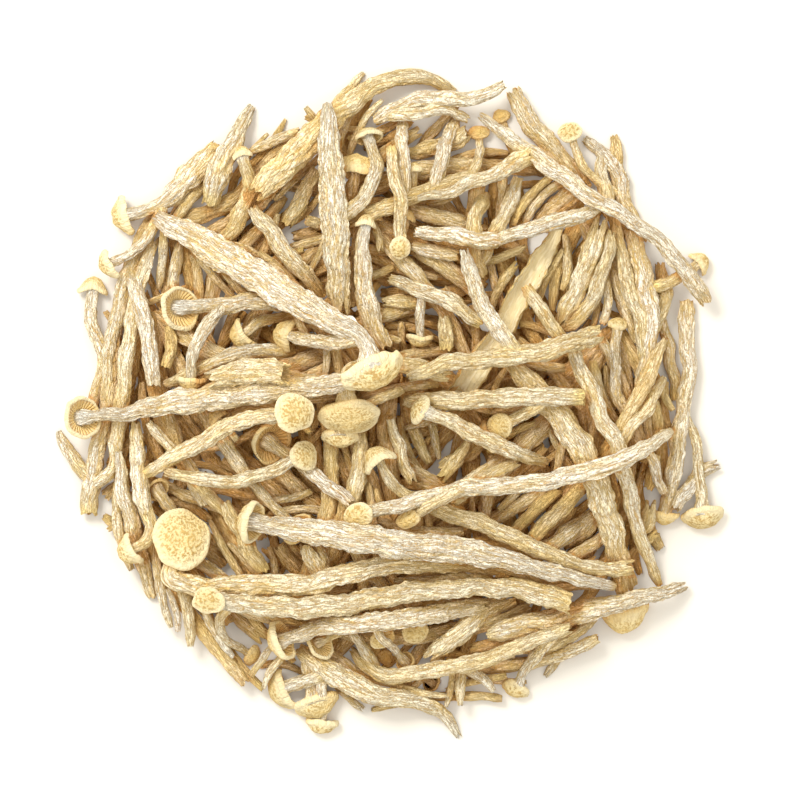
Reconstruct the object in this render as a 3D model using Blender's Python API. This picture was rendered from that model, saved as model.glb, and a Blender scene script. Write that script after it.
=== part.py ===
"""A bunch of dried beech mushrooms: a loose round heap of long thin mushrooms that lie across each other.

Every mushroom is one solid. Its course, seen from above, runs from the cap, or the thin end, to the foot. A settling
rule lays the mushrooms down in order, each on those below it, so that they touch without crossing. Mushrooms that
stayed joined share one object. Lengths in the tables are in millimetres; the scene is in metres.
"""

import math

import bmesh
import bpy
import numpy as np

MM = 0.001
HEAP_RADIUS = 97.0
FLATNESS = 0.78
GAP = 0.42
SINK = 0.95

# Stems
SWELL = 1.1
STEM_SIDES = 8
SLIM_SIDES = 6
SLIM_WIDTH = 5.2
RIDGE = 1.05
FURROW = 0.88
TWIST_PER_MM = 0.012
OPEN_WALL = 0.3
OPEN_FROM = -205
OPEN_SWEEP = 230
KNOT_SPACING = 11.0
COURSE_STEPS = 24

# Caps, as shares of the cap's radius, but for the least wall
CAP_DOME = 0.38
CAP_LIFT = 0.02
CAP_CENTRE_WALL = 0.34
CAP_RIM_WALL = 0.20
LEAST_WALL = 0.9
CAP_UNDER = 0.90
CAP_SHOULDER = 0.62
CAP_RIM_DROP = 0.35
NECK_BEND = 1.4
NECK_BEND_PER_WIDTH = 0.45

# Settling
SAMPLE_SPACING = 1.2
CAP_RING_SPACING = 1.1
CAP_SAMPLE_SPACING = 1.3
CAP_SAMPLE_REACH = 0.95
BALL_MARGIN = 0.1
STIFFNESS = 0.15
RAISING_ROUNDS = 60
ROOT_REACH = 1.5

# Tufts at the bottom of the heap
TUFTS = 10
TUFT_MEMBERS = 5
TUFT_SIDES = 5
TUFT_KNOT_SPACING = 13.0
TUFT_SEED = 65
TUFT_REACH = 0.80
TUFT_TURN = (0.15, 0.70)
TUFT_BEND = (0.3, 1.0)
TUFT_SPREAD = 0.36
TUFT_LENGTHS = (52, 84)
TUFT_WIDTHS = (4.2, 6.4)
TUFT_BELLY = (0.95, 1.05, 1.0, 0.8, 0.62)
TUFT_FOOT = 0.75
TUFT_MARGIN = 11.0
TUFT_CAP_SHARE = 0.4
TUFT_CAP_WIDTHS = (7, 11)
TUFT_CAP_DEPTH = 0.75
WOBBLE = 0.08

ROUGHNESS = 0.72
SHARP_ANGLE = 50

# Cap poses: how far the cap's axis rises above the stem's line, in degrees, and how far its rim curls back.
POSES = {
    "dome": (68.0, 0.20),
    "tilted": (38.0, 0.25),
    "edge": (4.0, 0.36),
    "hook": (8.0, 0.75),
    "side": (-28.0, 0.30),
    "gills": (-62.0, 0.25),
}
TINTS = {
    "cream": (0.80, 0.66, 0.42),
    "pale": (0.84, 0.75, 0.56),
    "golden": (0.76, 0.55, 0.25),
    "orange": (0.66, 0.35, 0.10),
}


def mushroom(tint, cap, *course, open_stem=False):
    """One mushroom: cap is (width across the stem, depth, pose) or None, course is (x, y, stem width) from the cap on."""
    return {"tint": tint, "cap": cap, "course": [(x, y, SWELL * width) for x, y, width in course], "open": open_stem}


# Each entry is one object, the lowest first. In an entry, the first mushroom carries those after it.
LOWER = {
    "rim_pair_left": [
        mushroom("cream", None, (-70, 61, 4), (-78, 45, 5), (-82, 31, 5), (-85, 16, 5), (-85, 2, 5), (-87, -6, 5),
                 (-90, -19, 5.4), (-91.5, -33, 5.8)),
        mushroom("cream", None, (-71, 52, 3), (-76, 38, 4.5), (-79, 20, 4.5), (-81, 3, 4.5), (-82, -6, 4.5),
                 (-86, -24, 4)),
        mushroom("cream", (9, 6, "hook"), (-90, 38, 3), (-91, 29, 4), (-88, 19, 4), (-85, 10, 4)),
        mushroom("pale", None, (-101, -7, 2.4), (-96, -16, 4.4), (-89, -22, 4)),
        mushroom("pale", None, (-71, 6, 5), (-72, 14, 5), (-74, 26, 5), (-77, 37, 4.4), (-79, 42, 4)),
    ],
    "rim_t_cap_left": [
        mushroom("pale", (12, 6, "edge"), (-82, 58, 3.4), (-71, 61, 4.2), (-65, 66, 7), (-58, 73, 7.5), (-52, 80, 5)),
        mushroom("pale", (10, 6, "edge"), (-86, 43, 2.6), (-80, 46, 3), (-73, 52, 3.4), (-68, 62, 4)),
    ],
    "cap_right_rim": [
        mushroom("pale", (9.6, 5, "edge"), (83, -33.5, 3.2), (84.5, -28, 4), (86, -19, 5.2), (88, -6, 5), (89, 1, 4.6),
                 (91, 13, 4.6), (90, 23, 5), (90, 33, 5)),
        mushroom("golden", (13, 8, "tilted"), (95, -34, 3.4), (94, -22, 3.6), (93, -11, 3), (90, -1, 3)),
    ],
    "cap_trio_below": [
        mushroom("cream", (8.4, 7.5, "dome"), (7.5, -68, 2.8), (3, -60, 3.4), (-6, -50, 4), (-12, -40, 4)),
        mushroom("cream", (8.4, 6, "dome"), (-2, -70, 2.4), (-6, -60, 3), (-9, -50, 3.4)),
        mushroom("pale", (6, 6, "gills"), (5, -77, 2.4), (-1, -71, 2.6), (-6, -60, 3)),
    ],
    "pale_mushroom_left_inner": [mushroom("pale", (8, 6, "gills"), (-70, -24, 2.6), (-68, -30, 4), (-60, -38, 4.4),
                                          (-50, -48, 4))],
    "upper_thin_stems": [
        mushroom("golden", None, (27, 71, 4), (12, 66, 4.6), (-2, 60, 5), (-14, 56, 4.4)),
        mushroom("pale", None, (4, 88, 3.2), (3.6, 77, 4), (5, 66, 3.6), (4, 61, 3)),
        mushroom("pale", None, (20, 88, 3.6), (16, 77, 4.4), (13, 67, 4)),
        mushroom("cream", (6.5, 4.5, "dome"), (27, 84, 2.4), (27, 76, 2.8), (24, 70, 3.2)),
    ],
    "upper_right_flat_stem": [
        mushroom("cream", None, (37, 97, 5.4), (41, 89, 6), (46, 82, 6), (53, 75, 5.4), (60, 66, 4.4)),
        mushroom("golden", (5.5, 4.5, "dome"), (34, 89, 2.2), (36, 80, 2.6), (45, 74, 3), (54, 73, 3)),
    ],
    "upper_right_dome": [
        mushroom("pale", None, (59, 82, 2.8), (66, 77, 4.6), (69, 70, 5.6), (71, 63, 5), (74, 57, 4.8), (77, 50, 4.4)),
        mushroom("golden", (7.4, 6.4, "dome"), (55, 84, 2.2), (56, 78, 2.6), (61, 70, 3), (70, 64, 3)),
        mushroom("orange", None, (68, 83, 3), (69, 77, 4), (70, 71, 3.4)),
        mushroom("cream", None, (64, 77, 3), (64.5, 68, 4.6), (68, 58, 4.6), (75, 51, 4)),
    ],
    "white_torn_cap": [mushroom("pale", (15, 11, "gills"), (-37, -10, 4), (-28, -16, 4), (-19, -23, 4.4), (-11, -29, 4))],
    "right_stem_far": [
        mushroom("pale", None, (73, 55, 5), (77, 38, 6), (79, 25, 5.6), (77, 12, 4.6), (75, -2, 4)),
        mushroom("golden", None, (67, 62, 3.4), (71, 41, 4.4), (75, 29, 4.4), (78, 14, 4)),
        mushroom("golden", None, (82, 44, 4), (84, 37, 5), (80, 26, 4.8), (77, 14, 3)),
        mushroom("golden", (8, 6, "hook"), (95, 45, 2.6), (90, 41, 3.4), (84, 38, 4), (78, 36, 4)),
    ],
    "right_white_stem": [mushroom("pale", (6, 5, "tilted"), (69, 26, 3), (68, 10, 3.6), (71, -3, 3.8), (77, -12, 3.4),
                                  (83, -26, 3))],
    "lower_right_brown_stem": [
        mushroom("orange", None, (61, -21, 4), (51, -31, 4.6), (42, -41, 4.4), (32, -54, 4)),
        mushroom("orange", None, (83, 21, 2), (79, 12, 4.4), (74, 2, 4.4), (67, -10, 4), (59, -23, 4)),
        mushroom("golden", None, (83, 9, 3), (76, -2, 3.6), (68, -12, 3.6), (59, -23, 3.6)),
        mushroom("cream", None, (62, -32, 4), (54, -38, 5.4), (47, -43, 5), (38, -49, 4)),
    ],
    "yellow_split_bundle": [
        mushroom("golden", None, (64, 58, 5), (60, 44, 6.4), (56, 35, 6), (51, 24, 5)),
        mushroom("golden", None, (67, 54, 3), (64, 40, 4.4), (58, 28, 4.4), (52, 22, 4)),
    ],
    "upper_golden_stem": [
        mushroom("golden", None, (29, 65, 4.2), (26, 58, 4.6), (25, 50, 4.4), (28, 40, 4)),
        mushroom("cream", None, (39, 70, 4.2), (35.5, 60, 4.6), (30, 50, 4), (27, 43, 4)),
    ],
    "open_stem": [
        mushroom("pale", None, (52, 56, 3), (46.5, 46, 6.6), (40.5, 36, 7.4), (34, 24.5, 7), (30, 17, 7.4), (24, 9, 8.6),
                 (19, 2, 7.6), open_stem=True),
        mushroom("golden", None, (54, 16, 3.6), (50, 23, 4.2), (46, 29, 4.2), (42, 36, 4)),
    ],
    "right_broad_stem": [
        mushroom("cream", None, (36, 14, 6), (46, 3, 7.6), (55, -8, 7.6), (63, -25, 7.8), (67.5, -40, 7), (73, -55, 5)),
        mushroom("golden", (16, 8, "hook"), (71, -65, 4), (70.5, -59, 4), (70, -51, 4.4), (68, -42, 5)),
    ],
    "right_slim_stem": [mushroom("cream", None, (54, 20, 4), (61, 3, 5), (69, -14, 5), (75, -37, 4.4), (82, -54, 2.8))],
}
UPPER = {
    "left_lower_stem": [mushroom("cream", None, (-82, -13, 2.4), (-81, -23, 4.4), (-78, -36, 5), (-75.5, -46, 4.6),
                                 (-72, -58, 3.4))],
    "left_upright_stem": [
        mushroom("cream", None, (-77, -4, 4), (-76, -18, 5), (-75, -27, 5), (-73, -34, 4)),
        mushroom("golden", (10.5, 8, "hook"), (-80, -44, 2.8), (-76, -42, 3.6), (-72, -37, 4), (-74, -30, 4)),
    ],
    "forked_stem": [mushroom("cream", None, (-42, 92, 3), (-48, 80, 5.6), (-53, 68, 8), (-55, 61, 5))],
    "yellow_curved_stem": [mushroom("golden", (6, 5, "hook"), (-45, 78, 3), (-43, 70, 4.4), (-43, 62, 5), (-48, 54, 5.2),
                                    (-54, 48, 4))],
    "upper_left_club": [mushroom("cream", None, (-42, 61, 4), (-38, 57, 5.4), (-33, 48, 5), (-25, 40, 5), (-20, 34, 4))],
    "great_branch": [
        mushroom("golden", None, (20, 96, 2.6), (13.5, 99.5, 4.2), (8, 100.5, 4.6), (0, 99.5, 5), (-7, 96, 5.4),
                 (-15, 90, 7), (-22, 83, 8.6), (-30, 75, 8.4), (-41, 64, 6)),
        mushroom("golden", None, (-8, 102, 2.2), (-14, 95, 3), (-21, 85, 4)),
    ],
    "twin_strands_top": [
        mushroom("cream", None, (35, 98, 3.4), (27, 94, 4), (20, 93, 4.6), (12, 94, 5), (5, 92, 4.6), (-5, 87, 4)),
        mushroom("cream", None, (24, 87.5, 2.8), (18, 90.5, 3.6), (8, 89, 4), (-2, 88, 4)),
    ],
    "small_dome_upper": [mushroom("golden", (6.2, 7.4, "dome"), (3, 48, 3.2), (3, 55, 4), (3, 63, 4.2), (1, 72, 3.6),
                                  (0, 79, 2.8))],
    "flared_stem_upper": [
        mushroom("cream", None, (64, 61, 4), (51, 56, 4.8), (42, 54, 4.4), (31, 50, 4)),
        mushroom("cream", None, (7, 53, 3.6), (15, 52.5, 4.6), (24, 51, 5), (33, 50.5, 5.4)),
    ],
    "long_stem_upper_right": [
        mushroom("pale", None, (27, 89, 2.6), (35, 82.5, 4), (48, 73, 5.2), (58, 65, 5), (66, 60, 4.6), (78, 53, 4.4),
                 (86, 45, 4.8), (93, 37, 5.4), (96, 32, 5)),
        mushroom("golden", None, (8, 63, 2), (23, 67, 4), (36, 73, 5), (43, 77, 6.4)),
    ],
    "curled_cap_upper": [mushroom("pale", (6, 6, "hook"), (-7, 57, 3), (-8.5, 50, 4), (-8, 41, 5.4), (-7, 31, 6),
                                  (-4, 23, 6), (-1, 18, 5))],
    "mid_flared_stem": [
        mushroom("golden", None, (0, 39, 3.4), (8, 36, 4.6), (18, 32, 5), (28, 25, 4)),
        mushroom("pale", (8.4, 6, "edge"), (9, 20, 2.4), (9.2, 25, 2.8), (9.4, 30, 3), (9.5, 35, 3)),
    ],
    "gilled_cap_left": [
        mushroom("cream", (13.4, 13, "gills"), (-64, 30.5, 3), (-55, 30.5, 4.8), (-41, 32, 5), (-30, 31, 4.4)),
        mushroom("cream", (9, 6, "edge"), (-60, 7, 2.6), (-59, 17, 3.6), (-55, 25, 4.2), (-50, 31, 4)),
    ],
    "furrowed_club": [
        mushroom("cream", None, (-19, 92, 3.6), (-18, 76, 7), (-17, 61, 8.4), (-16, 46, 7.8), (-15, 28, 6.2)),
        mushroom("cream", (9, 6.4, "side"), (-7, 83, 2.6), (-4, 73, 4.4), (-7, 65, 4.6), (-15, 56, 4.4)),
    ],
    "dome_pair_middle": [
        mushroom("golden", (18.6, 10.4, "dome"), (-11.4, -3.2, 4.4), (-12.6, 3, 4.4), (-13, 9.4, 4.6), (-8, 13.6, 4.8),
                 (3, 13, 5), (18, 10, 5)),
        mushroom("golden", (11.4, 6.4, "tilted"), (-15, -9.6, 3), (-15, -4, 3.4), (-14, 3, 3.6), (-13, 8.4, 3.6)),
    ],
    "yellow_stem_middle": [
        mushroom("golden", None, (4, 2, 4.6), (15, 2, 5.4), (35, 3, 5.6), (50, 3.5, 5.6), (59, 3, 5.2)),
        mushroom("golden", (8.4, 8, "dome"), (33, -5.5, 3), (38, -3, 3.6), (43, 0, 4), (48, 3, 4)),
    ],
    "long_left_mushroom": [mushroom("pale", (12.6, 12, "gills"), (-93.4, -3, 3.4), (-85, -2, 4), (-76, -1, 4.6),
                                    (-63, 2, 7.4), (-45, 4, 7.4), (-27, 6, 6.6), (-12, 8, 5))],
    "round_dome_left": [mushroom("golden", (12, 12.5, "dome"), (-28.5, -3.2, 4), (-35, -1.4, 4.6), (-45, -4.2, 4.8),
                                 (-60, -12, 5), (-74, -20, 3.6))],
    "oval_dome_left": [mushroom("golden", (9.8, 7.8, "dome"), (-25.6, -14.4, 3), (-31, -16.5, 3.6), (-38, -20, 4.2),
                                (-48, -22, 4.2), (-60, -21, 3.8), (-68, -19, 2.8))],
    "hook_cap_middle": [mushroom("golden", (11, 7, "hook"), (-4.5, -14, 2.6), (-1, -21, 3), (5, -26, 3.8), (13, -30, 4.6),
                                 (28, -35, 5.2), (43, -42, 5.4), (55, -46.5, 4.4), (66, -49, 4.4), (74, -48, 5.6))],
    "edge_cap_middle": [mushroom("golden", (9, 6, "tilted"), (8.2, -0.4, 3), (14, -2, 4), (22, -6, 4.8), (34, -12, 4.8),
                                 (47, -16.5, 3.4))],
    "yellow_end_stem_right": [
        mushroom("golden", None, (5, 9, 4), (16, 13, 5), (33, 15, 5.6), (46, 17, 5.8), (56, 20, 5.8), (63, 22.5, 6)),
        mushroom("cream", None, (22, 48, 3.6), (26, 35, 5), (32, 24, 5), (39, 16, 4.4)),
    ],
    "furrowed_stem_lower_right": [mushroom("pale", None, (90, -54, 3.6), (78, -57, 4.6), (64, -60, 6), (50, -64, 7.4),
                                           (40, -66, 7), (29, -69, 4.2))],
    "hooked_stem_below": [
        mushroom("golden", None, (-12, -73, 2.4), (-9, -78, 4), (-1, -81, 4.8), (9, -80, 5), (19, -78, 4.8),
                 (29, -76, 4.8), (41, -71, 4.2), (55, -66, 3.6)),
        mushroom("cream", (9, 6, "tilted"), (38, -86, 2.6), (41, -79, 3.2), (45, -74, 4), (50, -68, 3.6)),
    ],
    "folded_stem_below": [
        mushroom("cream", None, (21, -100, 2.4), (18.5, -95, 4), (14, -91, 4.4), (8, -88.5, 4.6), (-1, -88, 5.8),
                 (-11, -84, 7), (-21, -78, 6.6), (-28, -73, 4.4)),
        mushroom("cream", (14, 6, "edge"), (-34, -86, 3.4), (-29, -84, 4.2), (-24, -82, 4.4), (-18, -80, 4)),
        mushroom("pale", (15, 8, "tilted"), (-22, -91, 3), (-24, -85, 3.4), (-25, -80, 4), (-25, -75, 4)),
        mushroom("pale", (10, 6, "edge"), (-21, -97, 2.6), (-20.5, -90, 3), (-20.5, -84, 3.4), (-20, -79, 3.6)),
    ],
    "side_cap_below": [mushroom("pale", (12.6, 10, "side"), (-34, -71, 3.2), (-27, -67.5, 4.6), (-11, -65, 5.6), (4, -63.5, 5.8),
                                (18, -61, 6), (30, -59.5, 5))],
    "great_golden_cap": [mushroom("golden", (17, 20, "dome"), (-60.5, -40.8, 5.2), (-67, -45, 5.2), (-67.5, -49.5, 5.6),
                                  (-61, -53.2, 5.8), (-52, -54, 6), (-40, -53, 6.2), (-30, -53.5, 6.2), (-20, -52, 6.2),
                                  (-10, -49, 6), (3, -47, 5.6), (18, -47, 5.4), (33, -49, 4))],
    "yellow_end_stem_below": [
        mushroom("golden", (8.4, 10, "dome"), (-54.6, -57.3, 4), (-48, -58.5, 5.4), (-30, -60, 6.2), (-15, -59, 6.2),
                 (3, -56, 6), (18, -54.5, 5.4), (33, -54, 5.6), (45, -56, 6.4), (55, -59, 7.2)),
        mushroom("golden", (7, 5, "tilted"), (-41.5, -75.5, 2.2), (-46, -72.5, 2.4), (-51, -68, 2.6), (-51, -62, 3),
                 (-47, -58.5, 3.4)),
    ],
    "slim_dome_middle": [
        mushroom("cream", (8, 9.4, "dome"), (-10, -32, 3.4), (-3, -30.5, 4), (8, -28, 5), (23, -24, 5), (40, -23, 5.2),
                 (55, -20, 5.4), (70, -15.5, 5.6), (85, -7, 3)),
        mushroom("golden", (5.6, 7.6, "dome"), (6.3, -34.4, 2.6), (8.4, -31, 3), (15, -27.6, 3.6), (24, -23.9, 3.8)),
    ],
    "longest_mushroom": [mushroom("pale", (13.6, 10, "side"), (-43, -34, 3.4), (-37, -35, 5), (-28, -36.5, 7), (-15, -38, 8.2),
                                  (3, -41, 8.2), (23, -43, 7.6), (36, -46, 5.8), (51, -50, 4.6), (68, -54, 2.8))],
    "broad_pale_mushroom": [
        mushroom("pale", (19, 12, "tilted"), (-4.6, 9.6, 4.6), (-5.4, 16, 4.8), (-9.4, 21.6, 5.2), (-17, 26, 7), (-27, 31.4, 9),
                 (-42, 41, 9.4), (-57, 50, 8.6), (-71, 58, 4.6)),
        mushroom("pale", (11, 8, "hook"), (-33, 22.5, 3), (-28, 21.5, 3.8), (-20, 19.5, 4.4), (-10, 20, 4.2)),
    ],
}


# The lowest mushrooms: tufts that grew from one foot, with their feet and directions spread evenly round the heap

def tufts():
    """The tufts at the bottom of the heap, as further entries of the tables above."""
    draw = np.random.default_rng(TUFT_SEED)
    golden_angle = math.pi * (3 - math.sqrt(5))
    found = {}
    for index in range(TUFTS):
        around = index * golden_angle
        out = TUFT_REACH * HEAP_RADIUS * math.sqrt((index + 0.9) / TUFTS)
        side = 1 if index % 2 else -1
        heading = around + side * (math.pi / 2 + draw.uniform(*TUFT_TURN))
        found[f"tuft_{index + 1:02d}"] = [
            tuft_member(draw, out * unit(around), heading + spread, side * draw.uniform(*TUFT_BEND))
            for spread in member_spreads(draw)
        ]
    return found


def member_spreads(draw):
    """How far each member of a tuft leans to one side, in radians."""
    middle = (TUFT_MEMBERS - 1) / 2
    return [(index - middle) * TUFT_SPREAD + draw.uniform(-WOBBLE, WOBBLE) for index in range(TUFT_MEMBERS)]


def tuft_member(draw, foot, heading, bend):
    """One bent mushroom of a tuft, from its cap to the shared foot."""
    length, width = draw.uniform(*TUFT_LENGTHS), draw.uniform(*TUFT_WIDTHS)
    step = length / len(TUFT_BELLY)
    points = [(*foot, TUFT_FOOT * width)]
    for belly in TUFT_BELLY:
        heading += bend / len(TUFT_BELLY) + draw.uniform(-WOBBLE, WOBBLE)
        ahead = np.array(points[-1][:2]) + step * unit(heading)
        if np.hypot(*ahead) > HEAP_RADIUS - TUFT_MARGIN:
            break
        points.append((*ahead, belly * width))
    has_cap = len(points) > 3 and draw.random() < TUFT_CAP_SHARE
    size = draw.uniform(*TUFT_CAP_WIDTHS)
    pose = ("edge", "hook", "dome", "gills", "tilted")[draw.integers(5)]
    tint = ("cream", "cream", "golden", "pale")[draw.integers(4)]
    return mushroom(tint, (size, TUFT_CAP_DEPTH * size, pose) if has_cap else None, *reversed(points))


# The course of a stem

def smooth_course(course):
    """Close points (x, y, width) along a smooth curve through those of the course, from the cap end to the foot."""
    points = np.array(course, float)
    ends = np.vstack([2 * points[0] - points[1], points, 2 * points[-1] - points[-2]])
    found = []
    for before, start, end, after in zip(ends, ends[1:], ends[2:], ends[3:]):
        first, second = end - before, 2 * before - 5 * start + 4 * end - after
        third = 3 * start - before - 3 * end + after
        for t in np.linspace(0, 1, COURSE_STEPS, endpoint=False):
            found.append(start + 0.5 * (first * t + second * t**2 + third * t**3))
    return np.array(found + [points[-1]])


def distances(points):
    return np.concatenate([[0], np.cumsum(np.hypot(*np.diff(points[:, :2], axis=0).T))])


def at_distance(points, wanted):
    along = distances(points)
    return np.column_stack([np.interp(wanted, along, column) for column in points.T])


def unit(angle):
    return np.array([math.cos(angle), math.sin(angle)])


# The cap, in its own frame: across the stem, along the cap's axis, and square to both

def neck_radius(shape):
    """The radius of the bend that turns the stem's line to the cap's."""
    return NECK_BEND + NECK_BEND_PER_WIDTH * shape["course"][0][2]


def neck_run(shape):
    """How far the bend and the cap's foot reach ahead of the stem's end, seen from above."""
    if not shape["cap"]:
        return 0.0
    rise = math.radians(POSES[shape["cap"][2]][0])
    return neck_radius(shape) * abs(math.sin(rise))


def frame(heading, rise):
    """The directions along, to the right and up of something that points along heading and rises by rise radians."""
    along = np.array([*(unit(heading) * math.cos(rise)), math.sin(rise)])
    right = np.array([math.sin(heading), -math.cos(heading), 0])
    return along, right, np.cross(right, along)


def neck(shape, end, heading, steps):
    """The places of the neck's bend, as (point, rise), from the stem's end to the foot of the cap."""
    rise, radius = math.radians(POSES[shape["cap"][2]][0]), neck_radius(shape)
    found = []
    for step in range(1, steps + 1):
        turned = rise * step / steps
        ahead, up = radius * abs(math.sin(turned)), radius * (1 - math.cos(turned)) * np.sign(rise)
        found.append((end + np.array([*(ahead * unit(heading)), up]), turned))
    return found


def cap_top(share, curl):
    """Height of the cap's upper face above the neck's end, at a share of its radius, as a share of its radius."""
    return CAP_DOME * (1 - share**2) + CAP_LIFT - curl * share**3


def cap_wall(share, radius):
    """Thickness of the cap at a share of its radius, as a share of its radius."""
    return max(CAP_CENTRE_WALL + (CAP_RIM_WALL - CAP_CENTRE_WALL) * share**2, LEAST_WALL / radius)


def cap_samples(shape, foot, heading):
    """Points and radii of small balls that fill the cap."""
    width, depth, pose = shape["cap"]
    rise, curl = math.radians(POSES[pose][0]), POSES[pose][1]
    along, right, up = frame(heading, rise)
    radius = width / 2
    found = []
    for share in np.linspace(0, CAP_SAMPLE_REACH, max(2, round(radius / CAP_RING_SPACING)) + 1):
        wall = cap_wall(share, radius)
        middle = (cap_top(share, curl) - wall / 2) * radius
        count = max(1, round(share * radius * math.tau / CAP_SAMPLE_SPACING))
        for around in np.arange(count) * math.tau / count:
            spot = foot + middle * along + share * (radius * math.cos(around) * right + depth / 2 * math.sin(around) * up)
            found.append([*spot, wall * radius / 2 + BALL_MARGIN])
    return np.array(found)


# Settling: every mushroom comes down on those below it

def reach_above(samples, placed):
    """The least height at which each sample clears what is placed and the floor."""
    floor = samples[:, 3] - SINK
    if not len(placed):
        return floor
    apart = np.hypot(samples[:, None, 0] - placed[None, :, 0], samples[:, None, 1] - placed[None, :, 1])
    reach = samples[:, None, 3] + placed[None, :, 3] + GAP
    over = placed[None, :, 2] + np.sqrt(np.maximum(reach**2 - apart**2, 0))
    return np.maximum(floor, np.where(apart < reach, over, -np.inf).max(axis=1))


def taut_line(along, heights):
    """The heights of a line drawn taut over all the heights."""
    corners = []
    for place in zip(along, heights):
        while len(corners) > 1 and slope(corners[-2], place) >= slope(corners[-2], corners[-1]):
            corners.pop()
        corners.append(place)
    return np.array(corners)


def slope(start, end):
    return (end[1] - start[1]) / max(end[0] - start[0], 1e-9)


def resting_line(corners, along):
    """The straight line that a rigid stick rests on: the taut line's stretch under its middle."""
    middle = (along[0] + along[-1]) / 2
    index = min(max(int(np.searchsorted(corners[:, 0], middle)), 1), len(corners) - 1)
    start, end = corners[index - 1], corners[index]
    return start[1] + slope(start, end) * (along - start[0])


def settle(shape, placed, spacing):
    """Finds where one mushroom comes to rest. Returns its knots (x, y, z, radius) from the foot to the cap end."""
    course = smooth_course(shape["course"])
    total = distances(course)[-1]
    run = neck_run(shape)
    count = max(4, round((total - run) / spacing) + 1)
    flat = at_distance(course, np.linspace(total, run, count))
    along = distances(flat)
    fine = at_distance(flat, np.linspace(0, along[-1], max(8, round(along[-1] / SAMPLE_SPACING))))
    spots = np.column_stack([fine[:, :2], np.zeros(len(fine)), fine[:, 2] / 2])
    needed = reach_above(spots, placed)
    if shape["cap"]:
        ahead = head(shape, np.array([*flat[-1, :2], 0.0]), heading_at(flat, len(flat) - 1))
        needed[-1] = max(needed[-1], (reach_above(ahead, placed) - ahead[:, 2]).max())
    heights = relax(distances(fine), needed, along)
    return np.column_stack([flat[:, :2], heights, flat[:, 2] / 2])


def relax(fine, needed, along):
    """Heights at the knots of a stiff stem that clears all that is needed and sags a little between its supports."""
    corners = taut_line(fine, needed)
    taut = np.interp(along, corners[:, 0], corners[:, 1])
    heights = STIFFNESS * np.maximum(resting_line(corners, along), taut) + (1 - STIFFNESS) * taut
    heights[1:-1] = 0.25 * heights[:-2] + 0.5 * heights[1:-1] + 0.25 * heights[2:]
    for _ in range(RAISING_ROUNDS):
        short = needed - np.interp(fine, along, heights)
        if short.max() < 1e-6:
            break
        for place in np.flatnonzero(short > 0):
            near = np.searchsorted(along, fine[place], side="right") - 1
            near = min(max(near, 0), len(along) - 2)
            lack = needed[place] - np.interp(fine[place], along, heights)
            heights[near : near + 2] += max(lack, 0)
    return heights


def heading_at(points, index):
    """The direction of travel from the foot on, at one knot, seen from above."""
    before, after = points[max(index - 1, 0)], points[min(index + 1, len(points) - 1)]
    return math.atan2(after[1] - before[1], after[0] - before[0])


def head(shape, end, heading):
    """Samples of the neck's bend and the cap, for a stem that ends at this point."""
    places = neck(shape, end, heading, 4)
    bend = [[*point, shape["course"][0][2] / 2] for point, _ in places]
    return np.vstack([bend, cap_samples(shape, places[-1][0], heading)])


def samples_of(shape, knots):
    """Points and radii of balls that fill one settled mushroom."""
    along = distances(knots)
    wanted = np.linspace(0, along[-1], max(8, round(along[-1] / SAMPLE_SPACING)))
    spots = np.column_stack([np.interp(wanted, along, column) for column in knots.T])
    if not shape["cap"]:
        return spots
    return np.vstack([spots, head(shape, knots[-1, :3], heading_at(knots, len(knots) - 1))])


def rooted(shape, spine):
    """The same mushroom with its foot drawn to the middle of the stem that carries it, and that place on the stem."""
    *course, foot = shape["course"]
    joint = int(np.hypot(*(spine[:, :2] - foot[:2]).T).argmin())
    x, y = spine[joint, :2]
    if math.hypot(x - foot[0], y - foot[1]) > ROOT_REACH:
        course.append(foot)
    return {**shape, "course": [*course, (x, y, foot[2])]}, joint


def settle_group(shapes, placed, spacing):
    """Settles mushrooms that stayed joined: each later one has its foot in the first one's stem.

    Returns (mushroom, knots) for each of them.
    """
    first = settle(shapes[0], placed, spacing)
    along = distances(first)
    dense = np.linspace(0, along[-1], 200)
    spine = np.column_stack([np.interp(dense, along, column) for column in first.T])
    settled = [(shapes[0], first)]
    joints = []
    for shape in shapes[1:]:
        shape, joint = rooted(shape, spine)
        settled.append((shape, settle(shape, placed, spacing)))
        joints.append(joint)
    lift = max([0.0, *(knots[0, 2] - spine[joint, 2] for joint, (_, knots) in zip(joints, settled[1:]))])
    first[:, 2] += lift
    for joint, (_, knots) in zip(joints, settled[1:]):
        share = 1 - distances(knots) / distances(knots)[-1]
        knots[:, 2] += (spine[joint, 2] + lift - knots[0, 2]) * share
    return settled


# Skins

def ring_shape(sides, is_open, phase):
    """The outline of a stem's section for a stem of radius 1: furrowed, or a gutter where the stem split open."""
    if not is_open:
        turns = [phase + math.tau * side / sides for side in range(sides)]
        return [(scale * math.cos(turn), scale * math.sin(turn))
                for turn, scale in zip(turns, [RIDGE, FURROW] * sides)]
    half = sides // 2 + 1
    turns = [math.radians(OPEN_FROM + OPEN_SWEEP * side / (half - 1)) for side in range(half)]
    outer = [(math.cos(turn), math.sin(turn)) for turn in turns]
    inner = [((1 - OPEN_WALL) * math.cos(turn), (1 - OPEN_WALL) * math.sin(turn)) for turn in reversed(turns)]
    return outer + inner


def stem_sides(name, shape):
    """How many sides a stem's section has: fewer on slim stems and at the bottom of the heap."""
    if name.startswith("tuft"):
        return TUFT_SIDES
    return SLIM_SIDES if max(width for _, _, width in shape["course"]) < SLIM_WIDTH else STEM_SIDES


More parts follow.
